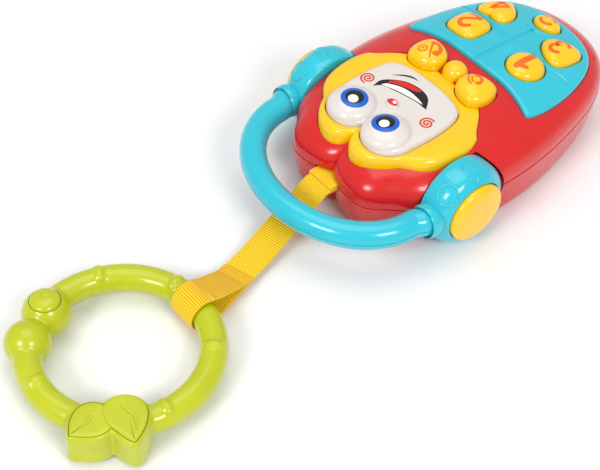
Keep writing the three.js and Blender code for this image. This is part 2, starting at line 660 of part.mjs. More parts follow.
// Closes a swept section, of outline points in order at each of steps + 1 stations, into a body.
function swept(section, positions, steps, insideOut) {
  const count = section.length;
  const order = Math.sign(THREE.ShapeUtils.area(section));
  const index = [];
  const add = (a, b, c) => index.push(...(insideOut ? [a, c, b] : [a, b, c]));
  for (const face of THREE.ShapeUtils.triangulateShape(section, [])) {
    const way = Math.sign(THREE.ShapeUtils.area(face.map((i) => section[i])));
    const [a, b, c] = way === order ? face : [...face].reverse();
    add(a, b, c);
    add(steps * count + a, steps * count + c, steps * count + b);
  }
  for (let i = 0; i < steps; i += 1) {
    for (let j = 0; j < count; j += 1) {
      const next = (j + 1) % count;
      add(i * count + j, (i + 1) * count + j, (i + 1) * count + next);
      add(i * count + j, (i + 1) * count + next, i * count + next);
    }
  }
  const geometry = new THREE.BufferGeometry();
  geometry.setAttribute('position', new THREE.Float32BufferAttribute(positions, 3));
  geometry.setIndex(index);
  return solid(geometry);
}

// ---- Strap and teether ring --------------------------------------------------------------

function strapAnchor() {
  const half = STRAP_WIDTH / 2;
  const loop = crossPin(-half, half, ANCHOR_Y, ANCHOR_Z, 3);
  const tongue = box(-half, half, ANCHOR_Y, STRAP_PIVOT_Y - 1.1,
    STRAP_PIVOT_Z - STRAP_THICK / 2, STRAP_PIVOT_Z + STRAP_THICK / 2);
  return cut(joined(loop, tongue), crossPin(-20, 20, ANCHOR_Y, ANCHOR_Z, 1.8));
}

const anchorPin = () => crossPin(-12.4, 12.4, ANCHOR_Y, ANCHOR_Z, 1.5);

const ringTilt = THREE.MathUtils.degToRad(RING.tilt);
const LOOP_Y = RING.y - RING.radius * Math.cos(ringTilt);
const LOOP_Z = RING.z - RING.radius * Math.sin(ringTilt);

// Middle of the webbing from just outside the head, down to the table and up to the ring.
const strapRoute = new THREE.CatmullRomCurve3([
  [0, STRAP_PIVOT_Y + 1.4, STRAP_PIVOT_Z - 0.6], [-0.5, 80, 12], [-1.8, 90, 8.4], [-4.6, 103, 5.2],
  [-8, 117, 4], [-11, 126.5, 5.2], [RING.x, LOOP_Y - LOOP_INNER - 0.5, LOOP_Z],
].map((p) => new THREE.Vector3(...p)));

function strap() {
  const steps = 18;
  const section = [[1, -1], [1, 1], [-1, 1], [-1, -1]]
    .map(([a, b]) => new THREE.Vector2((a * STRAP_WIDTH) / 2, (b * STRAP_THICK) / 2));
  const positions = [];
  for (let i = 0; i <= steps; i += 1) {
    const at = strapRoute.getPointAt(i / steps);
    const ahead = strapRoute.getTangentAt(i / steps);
    const across = i < steps ? new THREE.Vector3(ahead.y, -ahead.x, 0) : new THREE.Vector3(1, 0, 0);
    across.normalize();
    const up = new THREE.Vector3().crossVectors(across, ahead).normalize();
    const parted = Math.max(0, (i / steps - WEDGE_START) / (1 - WEDGE_START));
    const thicker = 1 + parted * (WEDGE_THICK / STRAP_THICK - 1);
    for (const p of section) {
      const corner = at.clone().addScaledVector(across, p.x).addScaledVector(up, p.y * thicker);
      positions.push(corner.x, corner.y, corner.z);
    }
  }
  const half = STRAP_WIDTH / 2;
  const eye = crossPin(RING.x - half, RING.x + half, LOOP_Y, LOOP_Z, LOOP_OUTER, 24);
  const room = crossPin(RING.x - 20, RING.x + 20, LOOP_Y, LOOP_Z, LOOP_INNER, 24);
  return cut(joined(swept(section, positions, steps, false), eye), room);
}

// Pieces of the ring are made flat about its centre, then tilted and placed.
function onRing(manifold) {
  const geometry = geometryOf(manifold);
  geometry.rotateX(ringTilt);
  return geometry.translate(RING.x, RING.y, RING.z);
}

const BALLS = [{ angle: 22.5, out: 31.6, radius: 9.1 }, { angle: 49, out: 32.7, radius: 8.6 }];
const INSERT_RADIUS = 5.6;          // of the round inset on the first ball
const INSERT_Z = 6.3;
const LEAF_TOP = 5.6;
const LEAF_BOTTOM = -8.6;
const LEAF_RIM = 1.5;               // of the block round its inset leaves

// The two inset leaves, about the ring's centre, meeting at the notch between them.
const NOTCH = [-29.5, 23.6];
const LEAVES = [
  cubicPath(NOTCH, [
    [[-32.5, 22.6], [-36.5, 22.3], [-39, 20.7]],
    [[-38.2, 17.6], [-35.6, 12.6], [-31.5, 10.2]],
    [[-28, 8.2], [-21.6, 9.6], [-20, 15.5]],
    [[-19.2, 18.8], [-20.6, 21.6], [-23.3, 22.6]],
    [[-25.3, 23.4], [-27.5, 24], NOTCH],
  ], 3).slice(1),
  cubicPath(NOTCH, [
    [[-27, 20], [-24, 19.5], [-21.5, 19.8]],
    [[-18, 21], [-15.5, 24], [-16, 27.5]],
    [[-16.6, 31.6], [-20.6, 34.8], [-23.9, 36.4]],
    [[-26.4, 33.6], [-29, 30.8], [-29.6, 28.6]],
    [[-30.1, 27.2], [-29.9, 25.2], NOTCH],
  ], 3).slice(1),
];

const polar = (radius, degrees) => new THREE.Vector2(radius, 0)
  .rotateAround(ORIGIN, THREE.MathUtils.degToRad(degrees));

const centroid = (outline) => outline.reduce((sum, p) => sum.add(p), new THREE.Vector2())
  .divideScalar(outline.length);

const leafPair = (by, z0, z1) => joined(...LEAVES.map((leaf) => prism(
  grown(leaf, centroid(leaf), by), z0, z1)));

function ball({ angle, out, radius }) {
  const at = polar(out, angle);
  return solid(new THREE.SphereGeometry(radius, 12, 8).rotateX(quarter).translate(at.x, at.y, 0));
}

function teetherRing() {
  const tube = solid(new THREE.TorusGeometry(RING.radius, RING.tube, 10, 42));
  const first = polar(BALLS[0].out, BALLS[0].angle);
  const body = joined(tube, ...BALLS.map(ball), leafPair(LEAF_RIM, LEAF_BOTTOM, LEAF_TOP));
  const pocket = oval(INSERT_RADIUS + GAP, INSERT_RADIUS + GAP, 14);
  return cut(body,
    leafPair(GAP, LEAF_TOP - 1.2, LEAF_TOP + 2),
    prism(shifted(pocket, first.x, first.y), INSERT_Z - GAP, 12));
}

const leafInsert = () => leafPair(0, LEAF_TOP - 0.9, LEAF_TOP + 0.4);

function ballInsert() {
  const at = polar(BALLS[0].out, BALLS[0].angle);
  return domed(shifted(oval(INSERT_RADIUS, INSERT_RADIUS, 14), at.x, at.y), at, INSERT_Z, 2.9);
}

// ---- Materials and assembly --------------------------------------------------------------

const plastic = (color, roughness = 0.35) => new THREE.MeshStandardMaterial({
  color, roughness, metalness: 0,
});
const metal = (color) => new THREE.MeshStandardMaterial({ color, roughness: 0.35, metalness: 1 });

const RED = plastic(0xe6160f);
const TURQUOISE = plastic(0x35cbdc);
const YELLOW = plastic(0xfdd308);
const WHITE = plastic(0xf1efec);
const GREEN = plastic(0xcdd001);
const WEBBING = plastic(0xfbd714, 0.9);
const RUBBER = plastic(0x8a8d90, 0.8);
const BOARD = plastic(0x2c6b3a, 0.6);
const BLACK = plastic(0x222222, 0.6);
const STEEL = metal(0xb9bcc0);
const CELL_SLEEVE = plastic(0x3a4552, 0.4);

const phone = new THREE.Group();
phone.name = 'toy_cell_phone';

function place(name, shape, material) {
  const geometry = shape instanceof THREE.BufferGeometry ? shape : geometryOf(shape);
  const mesh = new THREE.Mesh(geometry, material);
  mesh.name = name;
  phone.add(mesh);
}

place('rear_shell', rearShell(), RED);
place('front_shell', frontShell(), RED);
place('keypad_panel', keypadPanel(), TURQUOISE);
place('hair_frame', hairFrame(), YELLOW);
place('face_plate', facePlate(), WHITE);
BUTTONS.forEach((button) => place(button.name, pushButton(button), YELLOW));
place('button_membrane', membrane(), RUBBER);
place('circuit_board', circuitBoard(), BOARD);
place('speaker', speaker(), BLACK);
place('battery_1', cell(1), CELL_SLEEVE);
place('battery_2', cell(-1), CELL_SLEEVE);
place('battery_spring_1', contactSpring(1), STEEL);
place('battery_spring_2', contactSpring(-1), STEEL);
place('battery_contact_1', contactPlate(1), STEEL);
place('battery_contact_2', contactPlate(-1), STEEL);
place('battery_door', batteryDoor(), RED);
place('battery_door_screw', panScrew(0, DOOR.screwY, 0.1, 2, 1, 1.1, 9), STEEL);
SCREW_PLACES.forEach(([x, y], i) => {
  place(`housing_screw_${i + 1}`, panScrew(x, y, 4.2, 2.6, 1.5, 1, 24), STEEL);
});
BOARD_SCREW_PLACES.forEach(([x, y], i) => {
  place(`board_screw_${i + 1}`, panScrew(x, y, BOARD_Z - 1.5, 2.2, 1.3, 0.8, 26), STEEL);
});
place('power_switch', powerSwitch(), BLACK);
for (const [word, side] of [['left', -1], ['right', 1]]) {
  place(`pivot_hub_${word}`, pivotHub(side), RED);
  place(`pivot_washer_${word}`, pivotWasher(side), STEEL);
  place(`pivot_screw_${word}`, pivotScrew(side), STEEL);
  place(`ear_cup_${word}`, earCup(side), TURQUOISE);
  place(`cup_cap_${word}`, cupCap(side), YELLOW);
}
place('headband_front', bandHalf(1), TURQUOISE);
place('headband_rear', bandHalf(-1), TURQUOISE);
place('strap_anchor_pin', anchorPin(), STEEL);
place('strap_anchor', strapAnchor(), WEBBING);
place('strap', strap(), WEBBING);
place('teether_ring', onRing(teetherRing()), GREEN);
place('leaf_insert', onRing(leafInsert()), GREEN);
place('ball_insert', onRing(ballInsert()), GREEN);

export default phone;
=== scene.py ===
"""Toy cell phone with swinging headphones, a webbing strap and a teether ring."""
import math
from bisect import bisect_left

import bmesh
import bpy
from mathutils import Matrix, Vector


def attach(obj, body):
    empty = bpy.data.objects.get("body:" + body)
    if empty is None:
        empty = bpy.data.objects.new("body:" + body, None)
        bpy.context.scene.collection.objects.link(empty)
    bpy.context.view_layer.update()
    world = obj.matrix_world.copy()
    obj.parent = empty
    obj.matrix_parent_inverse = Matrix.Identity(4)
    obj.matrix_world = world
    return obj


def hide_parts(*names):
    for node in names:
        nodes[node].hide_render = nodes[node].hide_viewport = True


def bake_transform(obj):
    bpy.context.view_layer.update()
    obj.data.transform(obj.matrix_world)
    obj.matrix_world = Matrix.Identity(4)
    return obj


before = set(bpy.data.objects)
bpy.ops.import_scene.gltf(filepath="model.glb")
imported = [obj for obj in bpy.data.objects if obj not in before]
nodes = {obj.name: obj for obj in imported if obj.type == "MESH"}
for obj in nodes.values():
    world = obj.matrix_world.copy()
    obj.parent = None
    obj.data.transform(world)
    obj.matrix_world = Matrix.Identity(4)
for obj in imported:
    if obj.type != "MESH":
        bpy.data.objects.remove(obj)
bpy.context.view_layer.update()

MM = 0.001          # all shapes below are written in millimetres
TURN = 2 * math.pi

# ---- Driving dimensions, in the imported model's frame ----

HALF_WIDTH = 45.2
FOOT_Y = -69.2
LOBE_Y = 67.2
PARTING_Z = 18
CROWN_Z = 35.6
FOOT_CROWN = 0.8
WALL = 2.4
PANEL_PROUD = 1.9
SEAT = 1
FRAME_TOP_Z = 34.9
FACE_TOP_Z = 37.3
BUTTON_RISE = 4.8
BOW_RISE = 5.7
KNOT = Vector((0, 1.2))
KNOT_RADIUS = 5.2
KNOT_TOP_Z = 39.8
FACE_CENTRE = Vector((0, 35))
CUP_Y = 33.9
CUP_Z = 17.7
RECESS_X = 34.5
RECESS_RADIUS = 18.1
BAND_RADIUS = 5.3
BAND_BORE = 3.5
BAND_Z = 19.7
STRAP_WIDTH = 12.7
WEB = 1.05          # one layer of webbing
RIB = 0.95          # from one rib across the webbing to the next
THREAD_PITCH = 0.55 # from one lengthwise thread to the next
RING = Vector((-12.6, 170.5, 8.75))
RING_RADIUS = 32.7
RING_TUBE = 5.2
RING_TILT = math.radians(1.8)
LOOP_Y = RING.y - RING_RADIUS * math.cos(RING_TILT)
LOOP_Z = RING.z - RING_RADIUS * math.sin(RING_TILT)
LEAF_TOP = 5.6
LEAF_BOTTOM = -8.6


# ---- Outlines ----

def cubic_path(start, stretches, steps=20):
    """Points along cubic stretches, each (control 1, control 2, end)."""
    points = [Vector(start)]
    for a, b, end in stretches:
        p, a, b, q = points[-1], Vector(a), Vector(b), Vector(end)
        for i in range(1, steps + 1):
            t = i / steps
            s = 1 - t
            points.append(p * s ** 3 + a * (3 * s * s * t) + b * (3 * s * t * t) + q * t ** 3)
    return points


def through(points, steps=8):
    """A smooth path through the points, open at its ends."""
    points = [Vector(p) for p in points]
    ends = [points[0] * 2 - points[1], *points, points[-1] * 2 - points[-2]]
    path = [points[0]]
    for p, a, b, q in zip(ends, ends[1:], ends[2:], ends[3:]):
        for i in range(1, steps + 1):
            t = i / steps
            path.append((a * 2 + (b - p) * t + (p * 2 - a * 5 + b * 4 - q) * t ** 2
                         + (a * 3 - p - b * 3 + q) * t ** 3) / 2)
    return path


def mirrored(half):
    """A closed outline from its right half, given from bottom to top."""
    left = [Vector((-p.x, p.y)) for p in half if abs(p.x) > 1e-6]
    return half + left[::-1]


def oval(half_x, half_y, x=0, y=0, sides=64):
    angles = [TURN * i / sides for i in range(sides)]
    return [Vector((x + half_x * math.cos(a), y + half_y * math.sin(a))) for a in angles]


def moved(outline, x, y):
    return [Vector((p.x + x, p.y + y)) for p in outline]


def middle_of(outline):
    heights = [p.y for p in outline]
    sides = [p.x for p in outline]
    return Vector(((min(sides) + max(sides)) / 2, (min(heights) + max(heights)) / 2))


def softened(outline, count=220, passes=3):
    """The closed outline in evenly spaced points, with its corners a little rounded."""
    loop = outline + outline[:1]
    lengths = [0]
    for p, q in zip(loop, loop[1:]):
        lengths.append(lengths[-1] + (q - p).length)
    points = []
    for k in range(count):
        at = lengths[-1] * k / count
        i = max(1, bisect_left(lengths, at))
        share = (at - lengths[i - 1]) / max(lengths[i] - lengths[i - 1], 1e-9)
        points.append(loop[i - 1].lerp(loop[i], share))
    for _ in range(passes):
        points = [(points[i - 1] + p * 2 + points[(i + 1) % count]) / 4 for i, p in enumerate(points)]
    return points


def offset(outline, by):
    """The closed, anticlockwise outline moved outwards by that distance."""
    grown = []
    count = len(outline)
    for i, p in enumerate(outline):
        along = outline[(i + 1) % count] - outline[i - 1]
        grown.append(p + Vector((along.y, -along.x)).normalized() * by)
    return grown


def stroke(path, width, ends=8, taper=lambda t: 1):
    """The outline of a round-ended pen stroke along a path."""
    left, right = [], []
    last = len(path) - 1
    for i, p in enumerate(path):
        along = (path[min(i + 1, last)] - path[max(i - 1, 0)]).normalized()
        side = Vector((-along.y, along.x)) * (width / 2 * taper(i / last))
        left.append(p - side)
        right.append(p + side)

    def cap(centre, first):
        arm = first - centre
        turns = [Matrix.Rotation(math.pi * k / ends, 2) for k in range(1, ends)]
        return [centre + turn @ arm for turn in turns]

    return left + cap(path[-1], left[-1]) + right[::-1] + cap(path[0], right[0])


HOUSING = mirrored(cubic_path((0, FOOT_Y), [
    ((24, FOOT_Y), (34, -52), (39.4, -31)),
    ((42.5, -19), (HALF_WIDTH, -6), (HALF_WIDTH, 10)),
    ((HALF_WIDTH, 30), (38.8, 49), (31, 56)),
    ((26.3, 60), (23.5, LOBE_Y), (15.5, LOBE_Y)),
    ((8.6, LOBE_Y), (3, LOBE_Y - 1), (0, 63.2)),
]))
KEYPAD = mirrored(cubic_path((0, -59), [
    ((13, -59), (20, -56), (25, -50)),
    ((30, -44), (34.8, -28), (34.8, -14)),
    ((34.8, -9.6), (34.4, -6.4), (33.4, -4.6)),
    ((28, -7), (20, -8.9), (12, -8.9)),
    ((8, -8.9), (4, -8.9), (0, -8.9)),
]))
HAIR = mirrored(cubic_path((0, 5.5), [
    ((6, 5.5), (12, 4.5), (17, 6)),
    ((24, 8.5), (27, 17), (31, 18.5)),
    ((35, 24.5), (34, 38.5), (29.3, 44)),
    ((27, 47), (24.6, 47.8), (22.2, 50.4)),
    ((19.8, 55.4), (14, 60.8), (7.6, 60.6)),
    ((3.4, 60.4), (1, 57.6), (0, 54.2)),
]))
FACE = mirrored(cubic_path((0, 13.1), [
    ((9, 13.1), (15, 14), (18.5, 17)),
    ((21.5, 21), (22, 32), (21, 43)),
    ((21.2, 51.4), (15.4, 55.8), (10, 55.7)),
    ((4.6, 55.6), (1.6, 52.6), (0, 49)),
]))


def bow_lobe(side):
    """One lobe of the bow about its own middle, anticlockwise on either side."""
    outline = cubic_path((side * -7, 0), [
        ((side * -7.4, 5.8), (side * -1, 8.2), (side * 4, 7.6)),
        ((side * 9.6, 6.6), (side * 9.6, -6.2), (side * 4.6, -7.4)),
        ((side * -0.5, -8.2), (side * -7.4, -5.4), (side * -7, 0)),
    ])[:-1]
    return outline[::-1] if side > 0 else outline


def rounded_square(half, power=3.2, sides=64):
    points = []
    for i in range(sides):
        c, s = math.cos(TURN * i / sides), math.sin(TURN * i / sides)
        r = half / (abs(c) ** power + abs(s) ** power) ** (1 / power)
        points.append(Vector((r * c, r * s)))
    return points


TRIANGLE = [Vector((p.y, -p.x)) for p in mirrored(cubic_path((0, -7.6), [
    ((5.5, -7.6), (9, -6.6), (8.6, -2.6)),
    ((8, 2), (4, 7.8), (0, 7.8)),
]))]
HEART = mirrored(cubic_path((0, -8), [
    ((3, -6.4), (8.4, -2.6), (8.4, 2.6)),
    ((8.4, 8.4), (3, 8.2), (0, 6.5)),
]))
BUTTONS = {
    "button_1": (Vector((-14.9, -22.8)), oval(7.9, 7.9)),
    "button_2": (Vector((17.3, -22.8)), rounded_square(7.9)),
    "button_3": (Vector((-15.4, -41.6)), TRIANGLE),
    "heart_button": (Vector((17.8, -41.6)), HEART),
    "repeat_button": (Vector((0, -51)), oval(6.3, 4.9)),
    "bow_button_left": (Vector((-12.4, 3.2)), bow_lobe(-1)),
    "bow_button_right": (Vector((12.4, 3.2)), bow_lobe(1)),
}


# ---- Heights of the moulded surfaces ----

def gauge(outline, centre):
    """A function of x, y that is 0 at the centre and 1 on the outline."""
    table = sorted((math.atan2(p.y - centre.y, p.x - centre.x), (p - centre).length) for p in outline)
    table = [(table[-1][0] - TURN, table[-1][1]), *table, (table[0][0] + TURN, table[0][1])]
    angles = [row[0] for row in table]

    def reach(x, y):
        dx, dy = x - centre.x, y - centre.y
        angle = math.atan2(dy, dx)
        i = max(1, bisect_left(angles, angle))
        (a0, r0), (a1, r1) = table[i - 1], table[i]
        radius = r0 + (r1 - r0) * (angle - a0) / max(a1 - a0, 1e-9)
        return math.hypot(dx, dy) / radius

    return reach


housing_reach = gauge(HOUSING, Vector((0, 0)))


def crown_factor(y):
    return 1 - (1 - FOOT_CROWN) * min(1, max(0, (14 - y) / 84)) ** 1.4


def crown(x, y):
    """Height of the front shell over x, y: upright sides, a round shoulder, a shallow top."""
    reach = min(1, housing_reach(x, y))
    rise = (CROWN_Z - PARTING_Z) * (1 - reach ** 3) ** (1 / 2.8)
    return PARTING_Z + rise * crown_factor(y)


# ---- Mesh building ----

def solid(name, points, faces):
    mesh = bpy.data.meshes.new(name)
    mesh.from_pydata([Vector(p) * MM for p in points], [], faces)
    shape = bmesh.new()
    shape.from_mesh(mesh)
    bmesh.ops.remove_doubles(shape, verts=shape.verts, dist=1e-7)
    bmesh.ops.recalc_face_normals(shape, faces=shape.faces)
    shape.to_mesh(mesh)
    shape.free()
    piece = bpy.data.objects.new(name, mesh)
    bpy.context.scene.collection.objects.link(piece)
    return piece


def lofted(name, rings, closed=False):
    """A body through rings of points, capped at both ends unless it closes on itself."""
    points = [p for ring in rings for p in ring]
    count, rows = len(rings[0]), len(rings)
    faces = []
    for row in range(rows if closed else rows - 1):
        low, high = row * count, (row + 1) % rows * count
        for i in range(count):
            after = (i + 1) % count
            faces.append((low + i, low + after, high + after, high + i))
    if not closed:
        faces.append(tuple(range(count)))
        faces.append(tuple(range((rows - 1) * count, rows * count)))
    return solid(name, points, faces)


def prism(outline, z0, z1):
    return lofted("tool", [[(p.x, p.y, z) for p in outline] for z in (z0, z1)])


def box(x0, x1, y0, y1, z0, z1):
    return prism([Vector(c) for c in ((x0, y0), (x1, y0), (x1, y1), (x0, y1))], z0, z1)


def post(x, y, radius, z0, z1, sides=40):
    return prism(oval(radius, radius, x, y, sides), z0, z1)


def turned_x(name, profile, y, z, sides=128):
    """A solid turned about the X axis, through y, z, from (x, radius) pairs."""
    rings = [[(x, y + r * math.cos(TURN * i / sides), z + r * math.sin(TURN * i / sides))
              for i in range(sides)] for x, r in profile]
    return lofted(name, rings, closed=profile[0] == profile[-1])


def cross_pin(x0, x1, y, z, radius, sides=96):
    return turned_x("tool", [(x0, radius), (x1, radius)], y, z, sides)


def tube(name, path, radius, sides=16, closed=False):
    """A round tube along 3-D points; radius may be a function of the share of the length."""
    rings = []
    count = len(path)
    size = radius if callable(radius) else lambda t: radius
    for i, at in enumerate(path):
        ahead = path[(i + 1) % count if closed else min(i + 1, count - 1)]
        behind = path[i - 1 if closed else max(i - 1, 0)]
        along = (ahead - behind).normalized()
        across = along.cross(Vector((0, 0, 1)) if abs(along.z) < 0.9 else Vector((1, 0, 0))).normalized()
        up = across.cross(along)
        r = size(i / (count - 1))
        rings.append([at + (across * math.cos(TURN * k / sides) + up * math.sin(TURN * k / sides)) * r
                      for k in range(sides)])
    return lofted(name, rings, closed)


def over(name, outline, centre, rows, height=lambda x, y: 0, fill=8):
    """Rows of (outwards, dz): the outline offset by that, at height(x, y) + dz. Both ends are
    carried in to the centre by rings that follow the height."""
    def ring(base, share, dz):
        inner = [centre + (p - centre) * share for p in base]
        return [(p.x, p.y, height(p.x, p.y) + dz) for p in inner]

    shares = [1 - k / (fill + 0.3) for k in range(1, fill + 1)]
    (first, low), (last, high) = rows[0], rows[-1]
    rings = [ring(offset(outline, first), share, low) for share in reversed(shares)]
    rings += [ring(offset(outline, by), 1, dz) for by, dz in rows]
    rings += [ring(offset(outline, last), share, high) for share in shares]
    return lofted(name, rings)


def dome(name, outline, centre, foot, rise, height=lambda x, y: 0, power=2, rows=16):
    """A round-topped boss over an outline: (outwards, dz) rows of its foot, then the dome."""
    rings = [[(p.x, p.y, height(p.x, p.y) + dz) for p in offset(outline, by)] for by, dz in foot]
    base = foot[-1][1]
    for k in range(1, rows):
        angle = math.pi / 2 * k / (rows - 0.5)
        scale = math.cos(angle) ** (2 / power)
        lift = base + (rise - base) * math.sin(angle) ** (2 / power)
        inner = [centre + (p - centre) * scale for p in outline]
        rings.append([(p.x, p.y, height(p.x, p.y) + lift) for p in inner])
    return lofted(name, rings)


def flatten(piece):
    """Applies the piece's modifiers."""
    bpy.context.view_layer.update()
    graph = bpy.context.evaluated_depsgraph_get()
    mesh = bpy.data.meshes.new_from_object(piece.evaluated_get(graph))
    piece.modifiers.clear()
    piece.data = mesh
    return piece


def combine(operation, piece, *tools):
    for tool in tools:
        before = len(piece.data.polygons)
        change = piece.modifiers.new("change", "BOOLEAN")
        change.operation = operation
        change.solver = "MANIFOLD"
        change.object = tool
        flatten(piece)
        if len(piece.data.polygons) == before:
            print("NOTE: nothing changed on", piece.name)
        bpy.data.objects.remove(tool)
    return piece


def cut(piece, *tools):
    return combine("DIFFERENCE", piece, *tools)


def add(piece, *tools):
    return combine("UNION", piece, *tools)


def grouped(name, *parts):
    """One piece holding several bodies that touch."""
    shape = bmesh.new()
    for part in parts:
        shape.from_mesh(part.data)
        bpy.data.objects.remove(part)
    mesh = bpy.data.meshes.new(name)
    shape.to_mesh(mesh)
    shape.free()
    piece = bpy.data.objects.new(name, mesh)
    bpy.context.scene.collection.objects.link(piece)
    return piece


def finished(piece, body, material, replaced=(), sharp=32):
    """Shades the piece, gives it its material, and hangs it on its body."""
    mesh = piece.data
    mesh.shade_smooth()
    mesh.set_sharp_from_angle(angle=math.radians(sharp))
    mesh.materials.clear()
    mesh.materials.append(material)
    if body:
        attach(piece, body)
    if replaced:
        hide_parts(*replaced)
    return piece


# ---- Materials ----

def srgb(red, green, blue):
    """A linear colour from 0-255 values."""
    def linear(c):
        c /= 255
        return c / 12.92 if c <= 0.04045 else ((c + 0.055) / 1.055) ** 2.4
    return (linear(red), linear(green), linear(blue), 1)


class Nodes:
    """Short words for building one material's node tree."""

    def __init__(self, name, **uniform):
        self.material = bpy.data.materials.new(name)
        self.material.use_nodes = True
        self.tree = self.material.node_tree
        self.shader = self.tree.nodes["Principled BSDF"]
        self.place = self.node("ShaderNodeTexCoord").outputs["Object"]
        for socket, value in uniform.items():
            self.shader.inputs[socket.replace("_", " ")].default_value = value

    def node(self, kind, **settings):
        made = self.tree.nodes.new(kind)
        for key, value in settings.items():
            setattr(made, key, value)
        return made

    def link(self, source, target):
        self.tree.links.new(source, target)

    def stretched(self, scale):
        mapping = self.node("ShaderNodeMapping")
        mapping.inputs["Scale"].default_value = scale
        self.link(self.place, mapping.inputs["Vector"])
        return mapping.outputs["Vector"]

    def noise(self, scale, detail=3, where=None):
        made = self.node("ShaderNodeTexNoise")
        made.inputs["Scale"].default_value = scale
        made.inputs["Detail"].default_value = detail
        self.link(where or self.place, made.inputs["Vector"])
        return made.outputs["Fac"]

    def ranged(self, value, low, high, start=0.3, end=0.7):
        made = self.node("ShaderNodeMapRange")
        for socket, number in zip(("From Min", "From Max", "To Min", "To Max"), (start, end, low, high)):
            made.inputs[socket].default_value = number
        self.link(value, made.inputs["Value"])
        return made.outputs["Result"]

    def mixed(self, share, one, other):
        made = self.node("ShaderNodeMix", data_type="RGBA")
        for socket in made.inputs:
            if socket.name in "AB" and socket.type == "RGBA":
                socket.default_value = one if socket.name == "A" else other
        self.link(share, made.inputs["Factor"])
        return next(s for s in made.outputs if s.type == "RGBA")

    def math(self, operation, a, b):
        made = self.node("ShaderNodeMath", operation=operation)
        for socket, value in zip(made.inputs, (a, b)):
            if isinstance(value, (int, float)):
                socket.default_value = value
            else:
                self.link(value, socket)
        return made.outputs[0]

    def bump(self, height, strength, distance):
        made = self.node("ShaderNodeBump")
        made.inputs["Strength"].default_value = strength
        made.inputs["Distance"].default_value = distance
        self.link(height, made.inputs["Height"])
        self.link(made.outputs["Normal"], self.shader.inputs["Normal"])


def darker(colour, by):
    return tuple(c * (1 - by) for c in colour[:3]) + (1,)


def moulded(name, colour, roughness=0.2, mottle=0.08, grain=0.05, **uniform):
    """Moulded plastic: slightly uneven colour, gloss with faint rub marks, and flow ripple."""
    make = Nodes(name, **uniform)
    tone = make.ranged(make.noise(55, 4), 0, 1)
    make.link(make.mixed(tone, darker(colour, mottle), colour), make.shader.inputs["Base Color"])
    ripple = make.ranged(make.noise(160, 5), -0.03, 0.04)
    rubbed = make.ranged(make.noise(140, 8, make.stretched((1, 3, 2))), 0, 0.03, 0.56, 0.7)
    total = make.math("ADD", make.math("ADD", ripple, rubbed), roughness)
    make.link(total, make.shader.inputs["Roughness"])
    texture = make.math("ADD", make.noise(240, 2), make.math("MULTIPLY", make.noise(2600, 2), 0.12))
    make.bump(texture, grain, 0.0004)
    return make.material


def metal(name, colour, roughness):
    """Plated steel: rolled lines and a slightly cloudy plating."""
    make = Nodes(name, Metallic=1.0)
    cloud = make.ranged(make.noise(500, 4), 0, 1)
    make.link(make.mixed(cloud, darker(colour, 0.25), colour), make.shader.inputs["Base Color"])
    lines = make.noise(900, 3, make.stretched((1, 9, 1)))
    make.link(make.ranged(lines, roughness, roughness + 0.2), make.shader.inputs["Roughness"])
    make.bump(lines, 0.15, 0.00004)
    return make.material


def woven(name, light, dark):
    """Ribbed webbing, by its UV map in metres along and across the tape. The colour darkens in a band at
    each rib as painted shade for the grooves between ribs, mixed with random fray tone.
    """
    make = Nodes(name, Roughness=0.78, Sheen_Weight=0.35, Sheen_Roughness=0.4)
    split = make.node("ShaderNodeSeparateXYZ")
    make.link(make.node("ShaderNodeUVMap", uv_map="tape").outputs["UV"], split.inputs["Vector"])
    along = make.math("MULTIPLY", split.outputs["X"], TURN / (RIB * MM))
    across = make.math("MULTIPLY", split.outputs["Y"], TURN / (THREAD_PITCH * MM))
    rib = make.ranged(make.math("SINE", along, 0), 0, 1, -1, 0.3)
    thread = make.ranged(make.math("SINE", across, 0), 0, 1, -1, 1)
    fray = make.noise(1400, 4)
    # painted shade: the dark colour fills the grooves between ribs, and the fray noise adds random tone
    groove_shade_and_fray = make.math("ADD", make.math("MULTIPLY", rib, 0.75), make.math("MULTIPLY", fray, 0.35))
    make.link(make.mixed(groove_shade_and_fray, dark, light), make.shader.inputs["Base Color"])
    make.bump(make.math("ADD", make.math("MULTIPLY", thread, rib), fray), 0.5, 0.00012)
    return make.material


GLOSS = {"Coat_Weight": 0.35, "Coat_Roughness": 0.06}
RED = moulded("red_plastic", srgb(214, 8, 6), 0.24, **GLOSS)
TURQUOISE = moulded("turquoise_plastic", srgb(34, 192, 212), 0.2, **GLOSS)
YELLOW = moulded("yellow_plastic", srgb(252, 200, 0), 0.2, **GLOSS)
WHITE = moulded("white_plastic", srgb(222, 215, 209), 0.2, mottle=0.03, **GLOSS)
GREEN = moulded("green_plastic", srgb(190, 198, 0), 0.26, mottle=0.1, **GLOSS)
# the second colour is the painted shade in the grooves between the ribs
WEBBING = woven("webbing", srgb(253, 214, 12), srgb(190, 122, 0))
THREAD = moulded("thread", srgb(238, 190, 10), 0.7, grain=0.3)
ORANGE_PRINT = moulded("orange_print", srgb(250, 104, 0), 0.32, mottle=0.12)
BLACK_PRINT = moulded("black_print", srgb(12, 12, 14), 0.25, mottle=0.3)
BLUE_PRINT = moulded("blue_print", srgb(0, 96, 205), 0.25, mottle=0.12)
WHITE_PRINT = moulded("white_print", srgb(252, 252, 252), 0.25, mottle=0.03)
RED_PRINT = moulded("red_print", srgb(226, 26, 18), 0.28, mottle=0.1)
RUST_PRINT = moulded("rust_print", srgb(214, 66, 24), 0.3, mottle=0.1)
SILICONE = moulded("silicone", srgb(150, 152, 156), 0.6, grain=0.2)
BLACK = moulded("black_plastic", srgb(30, 30, 33), 0.45, mottle=0.2, grain=0.3)
BOARD = moulded("board", srgb(24, 98, 52), 0.4, mottle=0.25, grain=0.2)
SLEEVE = moulded("cell_sleeve", srgb(74, 84, 96), 0.3, mottle=0.15)
STEEL = metal("steel", srgb(198, 200, 204), 0.24)


# ---- Prints ----

